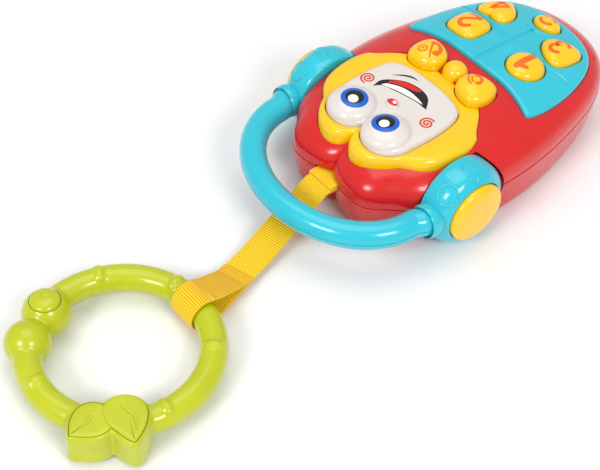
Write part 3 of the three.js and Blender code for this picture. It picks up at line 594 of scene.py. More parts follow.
def printed(target, outlines, ink, lift, low):
    """A thin layer of ink: the target's own surface under the outlines, raised by lift."""
    skin = bpy.data.objects.new(f"{target.name}_{ink.name}_{round(lift * 100)}", target.data.copy())
    bpy.context.scene.collection.objects.link(skin)
    normals = [v.normal.copy() for v in skin.data.vertices]
    for vertex, normal in zip(skin.data.vertices, normals):
        vertex.co += normal * (lift * MM)
    stamps = [prism(outline, low, 60) for outline in outlines]
    stamp = add(stamps[0], *stamps[1:]) if len(stamps) > 1 else stamps[0]
    return combine("INTERSECT", skin, stamp)


def shape_between(one, other):
    """The outline between two paths that run the same way."""
    return one + other[::-1]


def spiral(x, y, radius, turns, side, width):
    path = []
    for k in range(60):
        share = 0.12 + 0.88 * k / 59
        angle = side * TURN * turns * share
        path.append(Vector((x + radius * share * math.cos(angle), y + radius * share * math.sin(angle))))
    return stroke(path, width)


def arc(x, y, radius, start, end, steps=14):
    angles = [math.radians(start + (end - start) * k / steps) for k in range(steps + 1)]
    return [Vector((x + radius * math.cos(a), y + radius * math.sin(a))) for a in angles]


def line(*points):
    """A path of straight runs with extra points, so that a stroke can turn its corners."""
    path = []
    for p, q in zip(points, points[1:]):
        p, q = Vector(p), Vector(q)
        path += [p.lerp(q, k / 6) for k in range(6)]
    return path + [Vector(points[-1])]


# ---- Housing ----

SCREW_PLACES = [(-20, -55), (20, -55), (-21, 54), (21, 54)]
BOARD_SCREW_PLACES = [(-24, 12), (24, 12)]


def housing_rings(levels):
    return [[(p.x * scale, p.y * scale, z(p.y * scale) if callable(z) else z) for p in HOUSING]
            for scale, z in levels]


def crowned(lift, thinner, foot, rows=26):
    """(scale, height) levels of the front shell's surface, moved in by a wall's thickness."""
    levels = list(foot)
    for k in range(1, rows + 1):
        angle = math.pi / 2 * k / (rows + 0.3)
        scale = math.cos(angle) ** (2 / 3)
        rise = (CROWN_Z - PARTING_Z) * math.sin(angle) ** (2 / 2.8)
        levels.append((scale * (1 - thinner / HALF_WIDTH),
                       lambda y, rise=rise: PARTING_Z + rise * crown_factor(y) + lift))
    return levels


def recesses(grow=0):
    return [cross_pin(*sorted((side * (RECESS_X - grow), side * 60)), CUP_Y, CUP_Z, RECESS_RADIUS + grow)
            for side in (-1, 1)]


def hub_holes():
    return [cross_pin(*sorted((side * 28, side * 40)), CUP_Y, CUP_Z, 5.5, 48) for side in (-1, 1)]


def strap_mouth():
    return box(-7, 7, 56, 80, 15.2, 19.6)


def front_shell():
    shell = lofted("front_shell_moulded", housing_rings(crowned(
        0, 0, [(0.99, PARTING_Z + 0.15), (0.997, PARTING_Z + 0.4)])))
    cavity = lofted("tool", housing_rings(crowned(-WALL, WALL, [(1 - WALL / HALF_WIDTH, 10)])))
    cut(shell, cut(cavity, *recesses(WALL)), *recesses(), *hub_holes(), strap_mouth())
    for name, (centre, outline) in BUTTONS.items():
        window = 0.5 if name.startswith("bow") else 1.3
        cut(shell, prism(offset(moved(outline, *centre), window), 20, 50))
    for outline, centre in ((KEYPAD, middle_of(KEYPAD)), (HAIR, middle_of(HAIR)),
                            (oval(KNOT_RADIUS - 0.2, KNOT_RADIUS - 0.2, *KNOT), KNOT)):
        cut(shell, over("tool", softened(outline), centre, [(0.3, -SEAT), (0.3, 12)], crown))
    for x, y in SCREW_PLACES:
        boss = cut(post(x, y, 3.4, PARTING_Z + 0.15, crown(x, y) - 1.5), post(x, y, 1.1, 10, 28))
        add(shell, boss)
    for x, y in BOARD_SCREW_PLACES:
        boss = cut(post(x, y, 2.5, 22.9, crown(x, y) - 1.5), post(x, y, 0.9, 10, 29))
        add(shell, boss)
    return finished(shell, "housing", RED, ["front_shell"])


def grille():
    holes = [post(0, 36, 1.1, -1, 4, 24)]
    for count, radius in ((4, 4), (8, 8)):
        for i in range(count):
            angle = TURN * i / count
            holes.append(post(radius * math.cos(angle), 36 + radius * math.sin(angle), 1.1, -1, 4, 24))
    return holes


def rear_shell():
    depth = PARTING_Z - 0.15
    heights = [0, 0.05, 0.2, 0.5, 1, 1.8, 3, 5, 8, 12, depth - 0.25]
    levels = [(0.92 + 0.08 * (z / depth) ** 0.4, z) for z in heights] + [(0.992, depth)]
    shell = lofted("rear_shell_moulded", housing_rings([(0.5, 0)] + levels))
    inside = [(scale - WALL / HALF_WIDTH, z + 2.2) for scale, z in levels]
    cut(shell, cut(lofted("tool", housing_rings(inside)), *recesses(WALL)), *recesses())
    add(shell, box(-28.8, 28.8, -43.8, -16.2, 0.5, 14.4))
    cut(shell, box(-27.2, 27.2, -42.2, -17.8, -1, 12.8), box(-27.2, 27.2, -48.2, -17.8, -1, 2.3),
        box(-6.6, 6.6, -18.8, -14.8, 2.2, 5.2))
    add(shell, post(0, -45.4, 3.2, 2.3, 13), box(-32, -20, -11, 7, 0.5, 3.7))
    for x, y in SCREW_PLACES:
        add(shell, post(x, y, 4.6, 0.5, depth))
        cut(shell, post(x, y, 3.1, -1, 6), post(x, y, 1.7, 5, 30))
    for x in (-10.5, 10.5):
        add(shell, cut(box(x - 1.2, x + 1.2, 53, 59, 2, depth), cross_pin(-14, 14, 56, 14.6, 1.8, 32)))
    add(shell, cut(post(0, 36, 16, 2, 5, 96), post(0, 36, 14.3, 1, 6, 96)))
    cut(shell, *grille(), post(0, -45.4, 2, 1, 11), box(-30.5, -21.5, -9.5, 5.5, -1, 1.5),
        box(-28.4, -23.6, -7.4, 3.4, -1, 4), *hub_holes(), strap_mouth())
    return finished(shell, "housing", RED, ["rear_shell"])


def battery_door():
    plate_outline = softened([Vector(c) for c in (
        (-26.9, -47.9), (26.9, -47.9), (26.9, -18.1), (-26.9, -18.1))], 240, 3)
    door = over("battery_door_moulded", plate_outline, Vector((0, -33)),
                [(-0.3, 0), (-0.08, 0.08), (0, 0.3), (0, 1.9)])
    add(door, box(-6, 6, -19.9, -18.2, 1, 3.8), box(-6, 6, -19.9, -15.7, 2.6, 3.8),
        box(-4, 4, -34, -26, 1, 2.2))
    cut(door, post(0, -45.4, 1.6, -1, 4), post(0, -45.4, 2.3, -1, 1.4))
    for k in range(6):
        y = -25.5 + k * 1.1
        cut(door, box(-7 + 0.6 * k, 7 - 0.6 * k, y, y + 0.45, -1, 0.4))
    return finished(door, "battery_door", RED, ["battery_door"])


# ---- Keypad panel, hair frame and face ----

def panel_path(points):
    height = PANEL_PROUD + 0.15
    return [Vector((p.x, p.y, crown(p.x, p.y) + height)) for p in through(points, 14)]


def keypad_panel():
    outline = softened(KEYPAD, 260)
    panel = over("keypad_panel_moulded", outline, middle_of(KEYPAD), [
        (0, 0.3 - SEAT), (0, 0.8), (-0.08, 1.15), (-0.28, 1.45), (-0.6, 1.68), (-1.05, 1.83),
        (-1.6, PANEL_PROUD)], crown, fill=26)
    lip = [Vector((p.x, p.y, crown(p.x, p.y) + 1.45)) for p in arc(0, -51, 8.2, 10, 170, 30)]
    add(panel, tube("tool", lip, lambda t: 0.2 + 0.75 * math.sin(math.pi * t) ** 0.5, 20))
    hole = [(0.4, -6), (0.4, 1.1), (0.5, 1.45), (0.75, 1.75), (1.15, 1.95), (1.8, 2.2), (1.8, 5)]
    for name, (centre, shape) in BUTTONS.items():
        if name.startswith("bow"):
            continue
        cut(panel, over("tool", softened(moved(shape, *centre), 120, 1), centre, hole, crown))
    cut(panel, tube("tool", panel_path([(0, -7), (0, -20), (0, -31), (0, -42.5)]), 0.8),
        tube("tool", panel_path([(-37, -33.6), (-20, -31.2), (0, -30), (20, -31.2), (37, -33.6)]), 0.8))
    return finished(panel, "housing", TURQUOISE, ["keypad_panel"])


def bow_clearance():
    return [prism(offset(moved(outline, *centre), 0.4), 20, 50)
            for name, (centre, outline) in BUTTONS.items() if name.startswith("bow")]


def hair_frame():
    outer = gauge(softened(HAIR, 260, 2), FACE_CENTRE)
    inner = gauge(FACE, FACE_CENTRE)
    rounding = [math.radians(a) for a in (4, 12, 22, 33, 45, 57, 70, 82, 90)]
    spokes = []
    for i in range(300):
        way = Vector((math.cos(TURN * i / 300), math.sin(TURN * i / 300)))
        far = 1 / outer(*(FACE_CENTRE + way))
        near = 1 / inner(*(FACE_CENTRE + way)) + 0.3
        width = min(3.2, 0.6 * (far - near))
        edge = FACE_CENTRE + way * far
        shell = min(crown(*edge), FRAME_TOP_Z - 0.6)
        levels = [(far, shell - 0.7)]
        for angle in rounding:
            inwards = width * (1 - math.cos(angle) ** 0.9)
            levels.append((far - inwards, shell + (FRAME_TOP_Z - shell) * math.sin(angle) ** 0.9))
        levels += [(near + 0.5, FRAME_TOP_Z), (near + 0.12, FRAME_TOP_Z - 0.15),
                   (near, FRAME_TOP_Z - 0.5), (near, shell - 0.7)]
        spokes.append([(*(FACE_CENTRE + way * r), z) for r, z in levels])
    frame_piece = lofted("hair_frame_moulded", [list(ring) for ring in zip(*spokes)], closed=True)
    knot = dome("tool", oval(KNOT_RADIUS, KNOT_RADIUS, *KNOT), KNOT,
                [(-1.2, 30), (-1.2, 32.8), (0, 34)], KNOT_TOP_Z, power=2.3)
    add(frame_piece, knot)
    cut(frame_piece, *bow_clearance())
    return finished(frame_piece, "housing", YELLOW, ["hair_frame"])


EYES = [Vector((10.1, 46)), Vector((-9.7, 46))]
NOSE = Vector((0, 34.4))
EYE_RADIUS = 9.7
EYE_TOP_Z = 41.4
NOSE_TOP_Z = 39.3


def face_plate():
    outline = softened(FACE, 240, 2)
    plate = over("face_plate_moulded", outline, FACE_CENTRE, [
        (0, 28), (0, 35.5), (-0.1, 36.1), (-0.35, 36.6), (-0.75, 36.97), (-1.25, 37.2),
        (-1.9, FACE_TOP_Z)], fill=20)
    for eye in EYES:
        add(plate, dome("tool", oval(EYE_RADIUS, EYE_RADIUS, *eye, 96), eye,
                        [(0, 33), (0, 36.5)], EYE_TOP_Z, rows=22))
    add(plate, dome("tool", oval(3.2, 2.6, *NOSE), NOSE, [(0, 33), (0, 36.8)], NOSE_TOP_Z))
    return plate


def mouth():
    """The open smile: its black opening, the teeth, the tongue and a short chin line."""
    lower = through([(12.6, 33.2), (13, 28.6), (9.9, 24.3), (5.4, 21.2), (-1, 20),
                     (-6.2, 21.5), (-10.2, 26.2)])
    upper = through([(12.6, 33.2), (10.5, 30.2), (5.8, 28.6), (0.7, 27.3), (-4.6, 26.2), (-10.2, 26.2)])
    gum = through([(11.2, 30.2), (5.8, 28.1), (0.7, 26.8), (-3.7, 25.9), (-7.3, 25.4)])
    bite = through([(10.3, 28.2), (6, 25.5), (1.3, 24.3), (-2.8, 24.4), (-6.4, 25)])
    palate = through([(10.3, 27.6), (7.4, 25.4), (3.8, 23.9), (0.1, 22.6), (-1.7, 21.2)])
    throat = through([(10.6, 26.2), (8.3, 23.3), (4.3, 21.3), (0.4, 20.6), (-1.4, 20.5)])
    chin = through([(12.5, 23), (9.5, 19.8), (6.6, 18), (3.8, 17.5)])
    return (shape_between(upper, lower), shape_between(gum, bite), shape_between(palate, throat),
            stroke(chin, 0.95, taper=lambda t: 0.15 + 0.85 * math.sin(math.pi * t)))


def face():
    plate = face_plate()
    iris = [Vector((9.2, 45.6)), Vector((-8.4, 45.5))]
    glint = [Vector((8.7, 46.8)), Vector((-8.9, 46.6))]
    dark, teeth, tongue, chin = mouth()
    prints = [
        ([oval(5.35, 5.35, *p) for p in iris], BLUE_PRINT, 0.04, 38),
        ([oval(3.6, 3.6, *p) for p in iris], BLACK_PRINT, 0.07, 38.5),
        ([oval(2, 2, *p) for p in glint], WHITE_PRINT, 0.1, 39),
        ([oval(2.4, 1.6, *NOSE)], RED_PRINT, 0.04, 37.6),
        ([oval(0.8, 0.7, NOSE.x - 1, NOSE.y - 0.2, 24)], WHITE_PRINT, 0.08, 38),
        ([spiral(17.1, 31.7, 3, 2.3, 1, 0.75), spiral(-15.8, 31, 3, 2.3, -1, 0.75)],
         RUST_PRINT, 0.04, 36.8),
        ([dark, chin], BLACK_PRINT, 0.04, 36.9),
        ([teeth], WHITE_PRINT, 0.08, 36.9),
        ([tongue], RED_PRINT, 0.08, 36.9),
    ]
    for outlines, ink, lift, low in prints:
        layer = printed(plate, outlines, ink, lift, low)
        finished(layer, "housing", ink)
    return finished(plate, "housing", WHITE, ["face_plate"])


# ---- Buttons ----

def handset(x, y, turned, size=1):
    """A telephone receiver: two pads joined by a bent grip."""
    grip = arc(0, 2.8, 4, -145, -35)
    outlines = [stroke(grip, 1.7), oval(1.2, 1.5, -3.1, 0.9, 24), oval(1.2, 1.5, 3.1, 0.9, 24)]
    spin = Matrix.Rotation(math.radians(turned), 2)
    return [[spin @ (p * size) + Vector((x, y)) for p in outline] for outline in outlines]


def marks():
    """The orange print of each button: digits, two arcs, and two plain telephone signs."""
    two = arc(0, 2.1, 2.6, 165, -35) + line((1.4, 0), (-2.6, -4.4)) + line((-2.5, -4.5), (3, -4.5))
    three = arc(0, 2.2, 2.3, 150, -80) + arc(0, -2.2, 2.5, 80, -150)
    return {
        "button_1": [stroke(line((0.6, 4.7), (0.6, -4.8)), 2.7),
                     stroke(line((0.4, 4.3), (-2.5, 2.5)), 1.9)],
        "button_2": [stroke(two, 1.8)],
        "button_3": [stroke(three, 1.7)],
        "heart_button": [stroke(line((1.4, -4.6), (1.4, 4.6), (-3, -1.8), (3.4, -1.8)), 1.7)],
        "repeat_button": [stroke(arc(0, -0.2, 3.2, 35, 150), 1.3), stroke(arc(0, 0.2, 3.2, 215, 330), 1.3)],
        "bow_button_left": (handset(-0.4, -2.2, -40, 0.75)
                            + [stroke(arc(0, -1.8, r, 10, 90), 0.75) for r in (2.4, 3.8)]),
        "bow_button_right": (handset(-1.7, -2, -40) + [stroke(line((1.9, -2.9), (-3.1, 3.7)), 0.8)]
                             + [stroke(arc(2.1, 2.6, 1.75, 0, 345), 0.6), oval(0.6, 0.6, 2.1, 2.6, 20)]),
    }


def buttons():
    for name, (centre, shape) in BUTTONS.items():
        bow = name.startswith("bow")
        outline = softened(moved(shape, *centre), 140, 1)
        flange_top = -3.2 if bow else -1.3
        foot = [(0.8, flange_top - 1.3), (0.8, flange_top), (0, flange_top), (0, 1.2 if bow else 0.5)]
        cap = dome(f"{name}_moulded", outline, centre, foot, BOW_RISE if bow else BUTTON_RISE, crown,
                   power=2.2 if bow else 2.6, rows=20)
        stem = post(*centre, 3, 27.5, crown(*centre) - 1)
        add(cap, stem)
        low = crown(*centre) + 0.6
        outlines = [moved(mark, *centre) for mark in marks()[name]]
        ink = printed(cap, outlines, ORANGE_PRINT, 0.04, low)
        finished(ink, name, ORANGE_PRINT)
        finished(cap, name, YELLOW, [name])


# ---- Headphones ----

BARREL = [(34.9, 16.3), (35.05, 16.8), (35.4, 17.15), (36.2, 17.38), (38.5, 17.4), (41, 17.4),
          (43, 17.15), (44.6, 16.6), (46, 15.6), (47, 14.4), (47.6, 13.5), (47.9, 12.95), (47.8, 12.7),
          (47.4, 12.6), (44.8, 12.5), (44.8, 10.9), (37.4, 10.9), (37.4, 5.4), (34.9, 5.4)]
CAP = [(45.2, 12.1), (47.6, 12.35), (48.4, 12.45), (49.1, 12.4), (49.7, 12.1), (50.2, 11.5),
       (50.55, 10.6), (50.8, 9.2), (51, 7.4), (51.15, 5.2), (51.25, 2.8), (51.3, 0.6)]


def barrel_point(side, x, angle, lift):
    """A point on the barrel at x, and angle round its axis, raised by lift."""
    profile = BARREL[:12]
    i = max(1, bisect_left([row[0] for row in profile], x))
    (x0, r0), (x1, r1) = profile[i - 1], profile[i]
    radius = r0 + (r1 - r0) * (x - x0) / (x1 - x0) + lift
    return Vector((side * x, CUP_Y + radius * math.cos(angle), CUP_Z + radius * math.sin(angle)))


def raised_mark(side, x, angle, half_x, half_arc, thick, power=1.0):
    path = []
    for i in range(72):
        turn = TURN * i / 72
        c, s = math.cos(turn), math.sin(turn)
        along = half_x * math.copysign(abs(c) ** power, c)
        path.append(barrel_point(side, x + along, angle + half_arc * s / CUP_RADIUS, 0))
    return tube("tool", path, thick, 12, closed=True)


CUP_RADIUS = 17.4
COLLAR = Vector((41.3, 52.3, 19.4))     # middle of the ball that holds the band's end
COLLAR_RADIUS = 6.8


def headphones():
    for word, side in (("left", -1), ("right", 1)):
        profile = [(side * x, r) for x, r in BARREL]
        cup = turned_x(f"ear_cup_{word}_moulded", profile + profile[:1], CUP_Y, CUP_Z)
        ball = dome("tool", oval(COLLAR_RADIUS, COLLAR_RADIUS, side * COLLAR.x, COLLAR.y, 96),
                    Vector((side * COLLAR.x, COLLAR.y)), [(0, 0)], COLLAR_RADIUS, rows=24)
        low = ball.data.copy()
        low.transform(Matrix.Scale(-1, 4, (0, 0, 1)))
        low.flip_normals()
        under = bpy.data.objects.new("tool", low)
        bpy.context.scene.collection.objects.link(under)
        add(ball, under)
        ball.data.transform(Matrix.Translation((0, 0, COLLAR.z * MM)))
        hollow = cross_pin(*sorted((side * 33.9, side * 50)), CUP_Y, CUP_Z, 15)
        add(cup, cut(ball, hollow))
        socket = turned_x("tool", [(0, 6.3), (9, 6.3)], 0, 0, 64)
        socket.data.transform(Matrix.Rotation(math.pi / 2, 4, "Z"))
        socket.data.transform(Matrix.Translation(Vector((side * COLLAR.x, 53.3, BAND_Z)) * MM))
        cut(cup, socket)
        add(cup, raised_mark(side, 43.2, math.radians(48), 3.7, 4.3, 0.42),
            raised_mark(side, 43.2, math.radians(90), 3.9, 2.2, 0.34, 1.5))
        finished(cup, "headphones", TURQUOISE, [f"ear_cup_{word}"])
        cap = turned_x(f"cup_cap_{word}_moulded", [(side * x, r) for x, r in CAP], CUP_Y, CUP_Z)
        finished(cap, "headphones", YELLOW, [f"cup_cap_{word}"])


BAND_HALF_WIDTH = 39.4
BAND_FOOT_Y = 53.6
BAND_BEND_Y = 58        # where the straight ends stop and the bow begins
BAND_REACH = 31.5
BAND_FLARE = 1.9


def band_point(t):
    """The middle of the headband from its right end, t 0, to its left end, t 1."""
    lead = 0.05
    if t < lead or t > 1 - lead:
        side = 1 if t < 0.5 else -1
        along = (t if t < 0.5 else 1 - t) / lead
        flare = BAND_FLARE * (1 - along * along * (3 - 2 * along))
        y = BAND_FOOT_Y + (BAND_BEND_Y - BAND_FOOT_Y) * along
        return Vector((side * (BAND_HALF_WIDTH + flare), y, 0))
    angle = math.pi * (t - lead) / (1 - 2 * lead)
    return Vector((BAND_HALF_WIDTH * math.cos(angle), BAND_BEND_Y + BAND_REACH * math.sin(angle), 0))


def headband():
    steps = 150
    arcs = [math.pi * k / 22 for k in range(23)]
    section = [(BAND_RADIUS * math.cos(a), BAND_RADIUS * math.sin(a)) for a in arcs]
    section[0], section[-1] = (BAND_RADIUS - 0.12, 0), (0.12 - BAND_RADIUS, 0)
    section.insert(1, (BAND_RADIUS - 0.02, 0.16))
    section.insert(-1, (0.02 - BAND_RADIUS, 0.16))
    section += [(BAND_BORE * math.cos(a), BAND_BORE * math.sin(a)) for a in arcs[::-2]]
    for word, side in (("front", 1), ("rear", -1)):
        rings = []
        for i in range(steps + 1):
            t = i / steps
            at = band_point(t)
            ahead = (band_point(min(1, t + 1e-4)) - band_point(max(0, t - 1e-4))).normalized()
            rings.append([(at.x + ahead.y * a, at.y - ahead.x * a, BAND_Z + side * (0.1 + b))
                          for a, b in section])
        half = lofted(f"headband_{word}_moulded", rings)
        finished(half, "headphones", TURQUOISE, [f"headband_{word}"])


# ---- Strap ----

TAIL_Y = 115


def strap_route():
    """Middle line of the webbing: out of the head, under the ring, round it, and back on top."""
    loop = 6.65
    leave = through([(0, 65, 16.8), (0, 72.2, 16.2), (-0.5, 80, 11.4), (-1.8, 90, 7.8), (-4.6, 103, 4.6),
                     (-8, 117, 3.4), (-10.6, 126, 2.6), (-12.1, 133, 1.4),
                     (RING.x, LOOP_Y, LOOP_Z - loop)], 40)
    angles = [math.radians(-90 + 205 * k / 60) for k in range(1, 61)]
    turn = [Vector((RING.x, LOOP_Y + loop * math.cos(a), LOOP_Z + loop * math.sin(a))) for a in angles]
    back = through([turn[-1], (-12.1, 131, 11.6), (-11, 126.3, 9.3), (-9.9, 122, 7.1), (-8.8, 118.6, 5.3),
                    (-7.6, TAIL_Y, 4.75)], 40)
    return leave + turn + back[1:]


class Tape:
    """The strap's middle line with its lengths, and its place and directions at any length."""

    def __init__(self, route):
        self.route = route
        self.lengths = [0]
        for p, q in zip(route, route[1:]):
            self.lengths.append(self.lengths[-1] + (q - p).length)
        self.total = self.lengths[-1]

    def at(self, length):
        route, lengths = self.route, self.lengths
        last = len(route) - 1
        k = min(last - 1, max(0, bisect_left(lengths, length) - 1))
        share = (length - lengths[k]) / max(lengths[k + 1] - lengths[k], 1e-9)
        ahead = (route[min(k + 3, last)] - route[max(k - 2, 0)]).normalized()
        level = Vector((1, -ahead.x, 0)) if ahead.y > 0.3 else Vector((1, ahead.x, 0))
        across = (level - ahead * level.dot(ahead)).normalized()
        return route[k].lerp(route[k + 1], share), across, across.cross(ahead)


def strap(tape):
    count = round(tape.total / RIB * 6)
    half = STRAP_WIDTH / 2
    shares = [-1, -0.985, -0.93, -0.6, -0.2, 0.2, 0.6, 0.93, 0.985, 1]
    edge = [0.1, 0.6, 0.95, 1, 1, 1, 1, 0.95, 0.6, 0.1]
    points, faces, where = [], [], []
    for i in range(count + 1):
        length = tape.total * i / count
        place, across, up = tape.at(length)
        rib = 0.1 * math.cos(TURN * length / RIB)
        for side in (1, -1):
            for share, thick in zip(shares[::side], edge):
                wave = 0.05 * math.sin(length / 3.1 + share * 2)
                lift = side * (WEB / 2 - 0.1 + rib) * thick + wave
                points.append(place + across * (half * share) + up * lift)
                where.append((length * MM, half * share * MM))
    ring = 2 * len(shares)
    for i in range(count):
        for j in range(ring):
            after = (j + 1) % ring
            faces.append((i * ring + j, i * ring + after, (i + 1) * ring + after, (i + 1) * ring + j))
    faces += [tuple(range(ring)), tuple(range(count * ring, (count + 1) * ring))]
    piece = solid("strap_webbing", points, faces)
    uv = piece.data.uv_layers.new(name="tape")
    for loop in piece.data.loops:
        uv.data[loop.index].uv = where[loop.vertex_index]
    finished(piece, None, WEBBING, ["strap"], sharp=70)
    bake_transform(piece)


def stitches(tape):
    """Two rows of thread that close the eye of the strap, near its tail."""
    rows = []
    for from_end in (1.7, 3.9):
        place, across, up = tape.at(tape.total - from_end)
        for k in range(9):
            seat = place + across * (1.25 * (k - 4)) + up * (-WEB / 2)
            dips = [seat - across * 0.5 + up * 0.3, seat - up * 0.12, seat + across * 0.5 + up * 0.3]
            rows.append(tube("tool", through(dips, 5), 0.17, 8))
    finished(grouped("strap_stitching", *rows), "strap", THREAD)


# ---- Teether ring ----

LEAF_RIM = 1.5
NOTCH = (-29.5, 23.6)
LEAVES = [
    cubic_path(NOTCH, [
        ((-32.5, 22.6), (-36.5, 22.3), (-39, 20.7)),
        ((-38.2, 17.6), (-35.6, 12.6), (-31.5, 10.2)),
        ((-28, 8.2), (-21.6, 9.6), (-20, 15.5)),
        ((-19.2, 18.8), (-20.6, 21.6), (-23.3, 22.6)),
        ((-25.3, 23.4), (-27.5, 24), NOTCH),
    ])[1:],
    cubic_path(NOTCH, [
        ((-27, 20), (-24, 19.5), (-21.5, 19.8)),
        ((-18, 21), (-15.5, 24), (-16, 27.5)),
        ((-16.6, 31.6), (-20.6, 34.8), (-23.9, 36.4)),
        ((-26.4, 33.6), (-29, 30.8), (-29.6, 28.6)),
        ((-30.1, 27.2), (-29.9, 25.2), NOTCH),
    ])[1:],
]
VEINS = [
    [(-21.6, 14.2), (-25.4, 15.9), (-30.2, 15), (-34, 16.6), (-37, 19)],
    [(-23.4, 21.8), (-21.6, 25.4), (-23, 29.2), (-22.6, 32.8)],
]
# (angle, distance from the ring's centre, radius)
BALLS = [(22.5, 31.6, 9.1), (49, 32.7, 8.6)]
INSERT_RADIUS = 5.6
INSERT_Z = 6.3
NUBS = [-20.6, -71.9, -131.2, 173.4, 85]


def polar(radius, degrees):
    return Vector((radius * math.cos(math.radians(degrees)), radius * math.sin(math.radians(degrees))))


def placed(piece):
    piece.data.transform(Matrix.Translation(RING * MM) @ Matrix.Rotation(RING_TILT, 4, "X"))
    return piece


def ball(x, y, radius):
    rings = []
    for k in range(1, 24):
        angle = math.pi * k / 24
        r, z = radius * math.sin(angle), -radius * math.cos(angle)
        rings.append([(x + r * math.cos(TURN * i / 48), y + r * math.sin(TURN * i / 48), z)
                      for i in range(48)])
    return lofted("tool", rings)


def nub(degrees):
    """A low knuckle across the top of the tube."""
    at = polar(RING_RADIUS, degrees)
    along = polar(1, degrees + 90)
    out = polar(1, degrees)
    rings = []
    for k in range(1, 16):
        angle = math.pi * k / 16
        r, lift = math.sin(angle), -math.cos(angle)
        ring = []
        for i in range(36):
            turn = TURN * i / 36
            flat = at + along * (2.7 * r * math.cos(turn)) + out * (4.2 * r * math.sin(turn))
            ring.append((flat.x, flat.y, 3.1 + 3.1 * lift))
        rings.append(ring)
    return lofted("tool", rings)


def leaf_block(leaf):
    """One leaf of the pair: a thick block with rounded edges and a slightly wider foot."""
    rows = [(-0.6, LEAF_BOTTOM), (0.6, LEAF_BOTTOM + 0.25), (1.3, LEAF_BOTTOM + 1),
            (LEAF_RIM, LEAF_BOTTOM + 2.4), (1.3, LEAF_BOTTOM + 6), (1.25, LEAF_TOP - 1.4),
            (0.95, LEAF_TOP - 0.45), (0.3, LEAF_TOP)]
    return over("tool", softened(leaf, 160, 2), middle_of(leaf), rows)


def teether_ring():
    path = [Vector((*polar(RING_RADIUS, 3 * i), 0)) for i in range(120)]
    ring = tube("teether_ring_moulded", path, RING_TUBE, 40, closed=True)
    add(ring, *[ball(*polar(out, angle), radius) for angle, out, radius in BALLS],
        *[nub(angle) for angle in NUBS], *[leaf_block(leaf) for leaf in LEAVES])
    fused = ring.modifiers.new("fused", "REMESH")
    fused.mode = "VOXEL"
    fused.voxel_size = 0.45 * MM
    smooth = ring.modifiers.new("smooth", "SMOOTH")
    smooth.factor = 0.5
    smooth.iterations = 6
    flatten(ring)
    angle, out, _ = BALLS[0]
    pocket = prism(oval(INSERT_RADIUS + 0.25, INSERT_RADIUS + 0.25, *polar(out, angle)), INSERT_Z - 0.3, 12)
    cut(ring, *[prism(offset(softened(leaf, 160, 1), 0.25), LEAF_TOP - 1.2, LEAF_TOP + 2)
                for leaf in LEAVES], pocket)
    finished(placed(ring), "ring", GREEN, ["teether_ring"])


def leaf_insert():
    """The two inset leaves in one moulding, each with a bent vein pressed into it."""
    inserts = []
    for leaf, vein, top in zip(LEAVES, VEINS, (LEAF_TOP + 0.85, LEAF_TOP + 0.3)):
        rows = [(0, LEAF_TOP - 0.9), (0, top - 0.4), (-0.12, top - 0.2), (-0.4, top - 0.06), (-0.9, top)]
        insert = over("tool", softened(leaf, 160, 1), middle_of(leaf), rows)
        path = [Vector((*p, top + 0.5)) for p in through(vein, 12)]
        groove = tube("tool", path, lambda t: 0.25 + 0.7 * math.sin(math.pi * t) ** 0.6, 20)
        inserts.append(cut(insert, groove))
    insert = add(*inserts)
    insert.name = "leaf_insert_moulded"
    finished(placed(insert), "ring", GREEN, ["leaf_insert"])


def ball_insert():
    """The round inset on the first ball, with a small plain raised oval."""
    angle, out, _ = BALLS[0]
    at = polar(out, angle)
    insert = dome("ball_insert_moulded", oval(INSERT_RADIUS, INSERT_RADIUS, *at, 96), at,
                  [(0, INSERT_Z), (0, INSERT_Z + 0.5)], 9.3)
    rim = [Vector((at.x - 0.4 + 1.1 * math.cos(TURN * k / 60), at.y + 1.6 * math.sin(TURN * k / 60), 9.05))
           for k in range(60)]
    add(insert, tube("tool", rim, 0.38, 12, closed=True))
    finished(placed(insert), "ring", GREEN, ["ball_insert"])


# ---- Pieces kept as packed ----

def kept_nodes():
    finish = {
        "button_membrane": SILICONE, "circuit_board": BOARD, "speaker": BLACK, "power_switch": BLACK,
        "battery_1": SLEEVE, "battery_2": SLEEVE, "pivot_hub": RED, "strap_anchor_pin": STEEL,
        "strap_anchor": WEBBING, "battery_spring": STEEL, "battery_contact": STEEL,
        "battery_door_screw": STEEL, "housing_screw": STEEL, "board_screw": STEEL,
        "pivot_washer": STEEL, "pivot_screw": STEEL,
    }
    for name, node in nodes.items():
        words = [word for word in finish if name.startswith(word)]
        if not words:
            continue
        for place in node.material_slots:
            place.material = finish[max(words, key=len)]


# ---- Studio ----

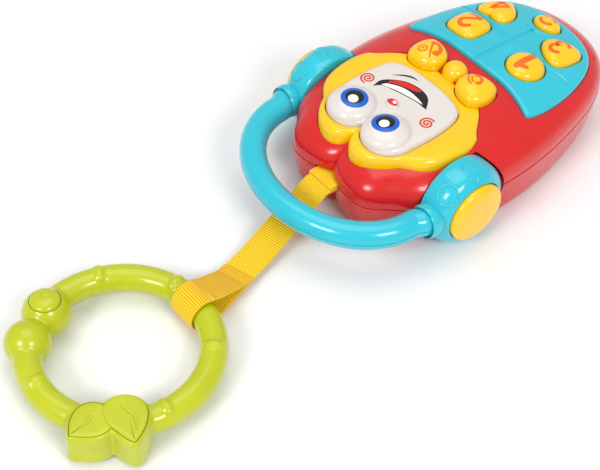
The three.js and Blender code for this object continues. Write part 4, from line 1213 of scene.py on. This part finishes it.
def floor():
    material = Nodes("studio_floor", Roughness=0.85)
    tone = material.ranged(material.noise(3, 2), 0, 1)
    material.link(material.mixed(tone, (0.86, 0.86, 0.86, 1), (0.9, 0.9, 0.9, 1)),
                  material.shader.inputs["Base Color"])
    half, depth = 3000, -0.2
    sheet = solid("studio_floor", [(-half, -half, depth), (half, -half, depth), (half, half, depth),
                                   (-half, half, depth)], [(0, 1, 2, 3)])
    sheet.data.materials.append(material.material)


def softbox(name, place, target, size, watts):
    light = bpy.data.lights.new(name, "AREA")
    light.shape = "RECTANGLE"
    light.size, light.size_y = size
    light.energy = watts
    lamp = bpy.data.objects.new(name, light)
    lamp.location = place
    lamp.rotation_euler = (Vector(target) - Vector(place)).to_track_quat("-Z", "Y").to_euler()
    bpy.context.scene.collection.objects.link(lamp)


def studio():
    world = bpy.data.worlds.new("studio")
    world.use_nodes = True
    background = world.node_tree.nodes["Background"]
    background.inputs["Color"].default_value = (1, 1, 1, 1)
    background.inputs["Strength"].default_value = 0.62
    bpy.context.scene.world = world
    bpy.context.scene.view_settings.view_transform = "Standard"
    middle = (-0.005, 0.08, 0.02)
    softbox("left_softbox", (-0.15, 0.95, 0.75), middle, (0.35, 0.28), 4)
    softbox("right_softbox", (-0.85, 0.2, 0.8), middle, (0.35, 0.28), 4)
    softbox("top_softbox", (0.2, 0, 1.2), middle, (0.9, 0.9), 4)


def camera():
    azimuth, elevation, roll = (math.radians(a) for a in (229.92, 48.42, 1.31))
    back = Vector((math.sin(azimuth) * math.cos(elevation), -math.cos(azimuth) * math.cos(elevation),
                   math.sin(elevation)))
    right = Vector((0, 0, 1)).cross(back).normalized()
    up = back.cross(right)
    turned_right = right * math.cos(roll) + up * math.sin(roll)
    turned_up = up * math.cos(roll) - right * math.sin(roll)
    lens = bpy.data.cameras.new("camera")
    lens.sensor_width = 36
    lens.lens = 84.7
    lens.clip_start = 0.01
    eye = bpy.data.objects.new("camera", lens)
    turn = Matrix((turned_right, turned_up, back)).transposed().to_4x4()
    eye.matrix_world = Matrix.Translation(Vector((-280.8, 315.2, 407)) * MM) @ turn
    bpy.context.scene.collection.objects.link(eye)
    bpy.context.scene.camera = eye


camera()
studio()
floor()
front_shell()
rear_shell()
battery_door()
keypad_panel()
hair_frame()
face()
buttons()
headphones()
headband()
tape = Tape(strap_route())
strap(tape)
stitches(tape)
teether_ring()
leaf_insert()
ball_insert()
kept_nodes()
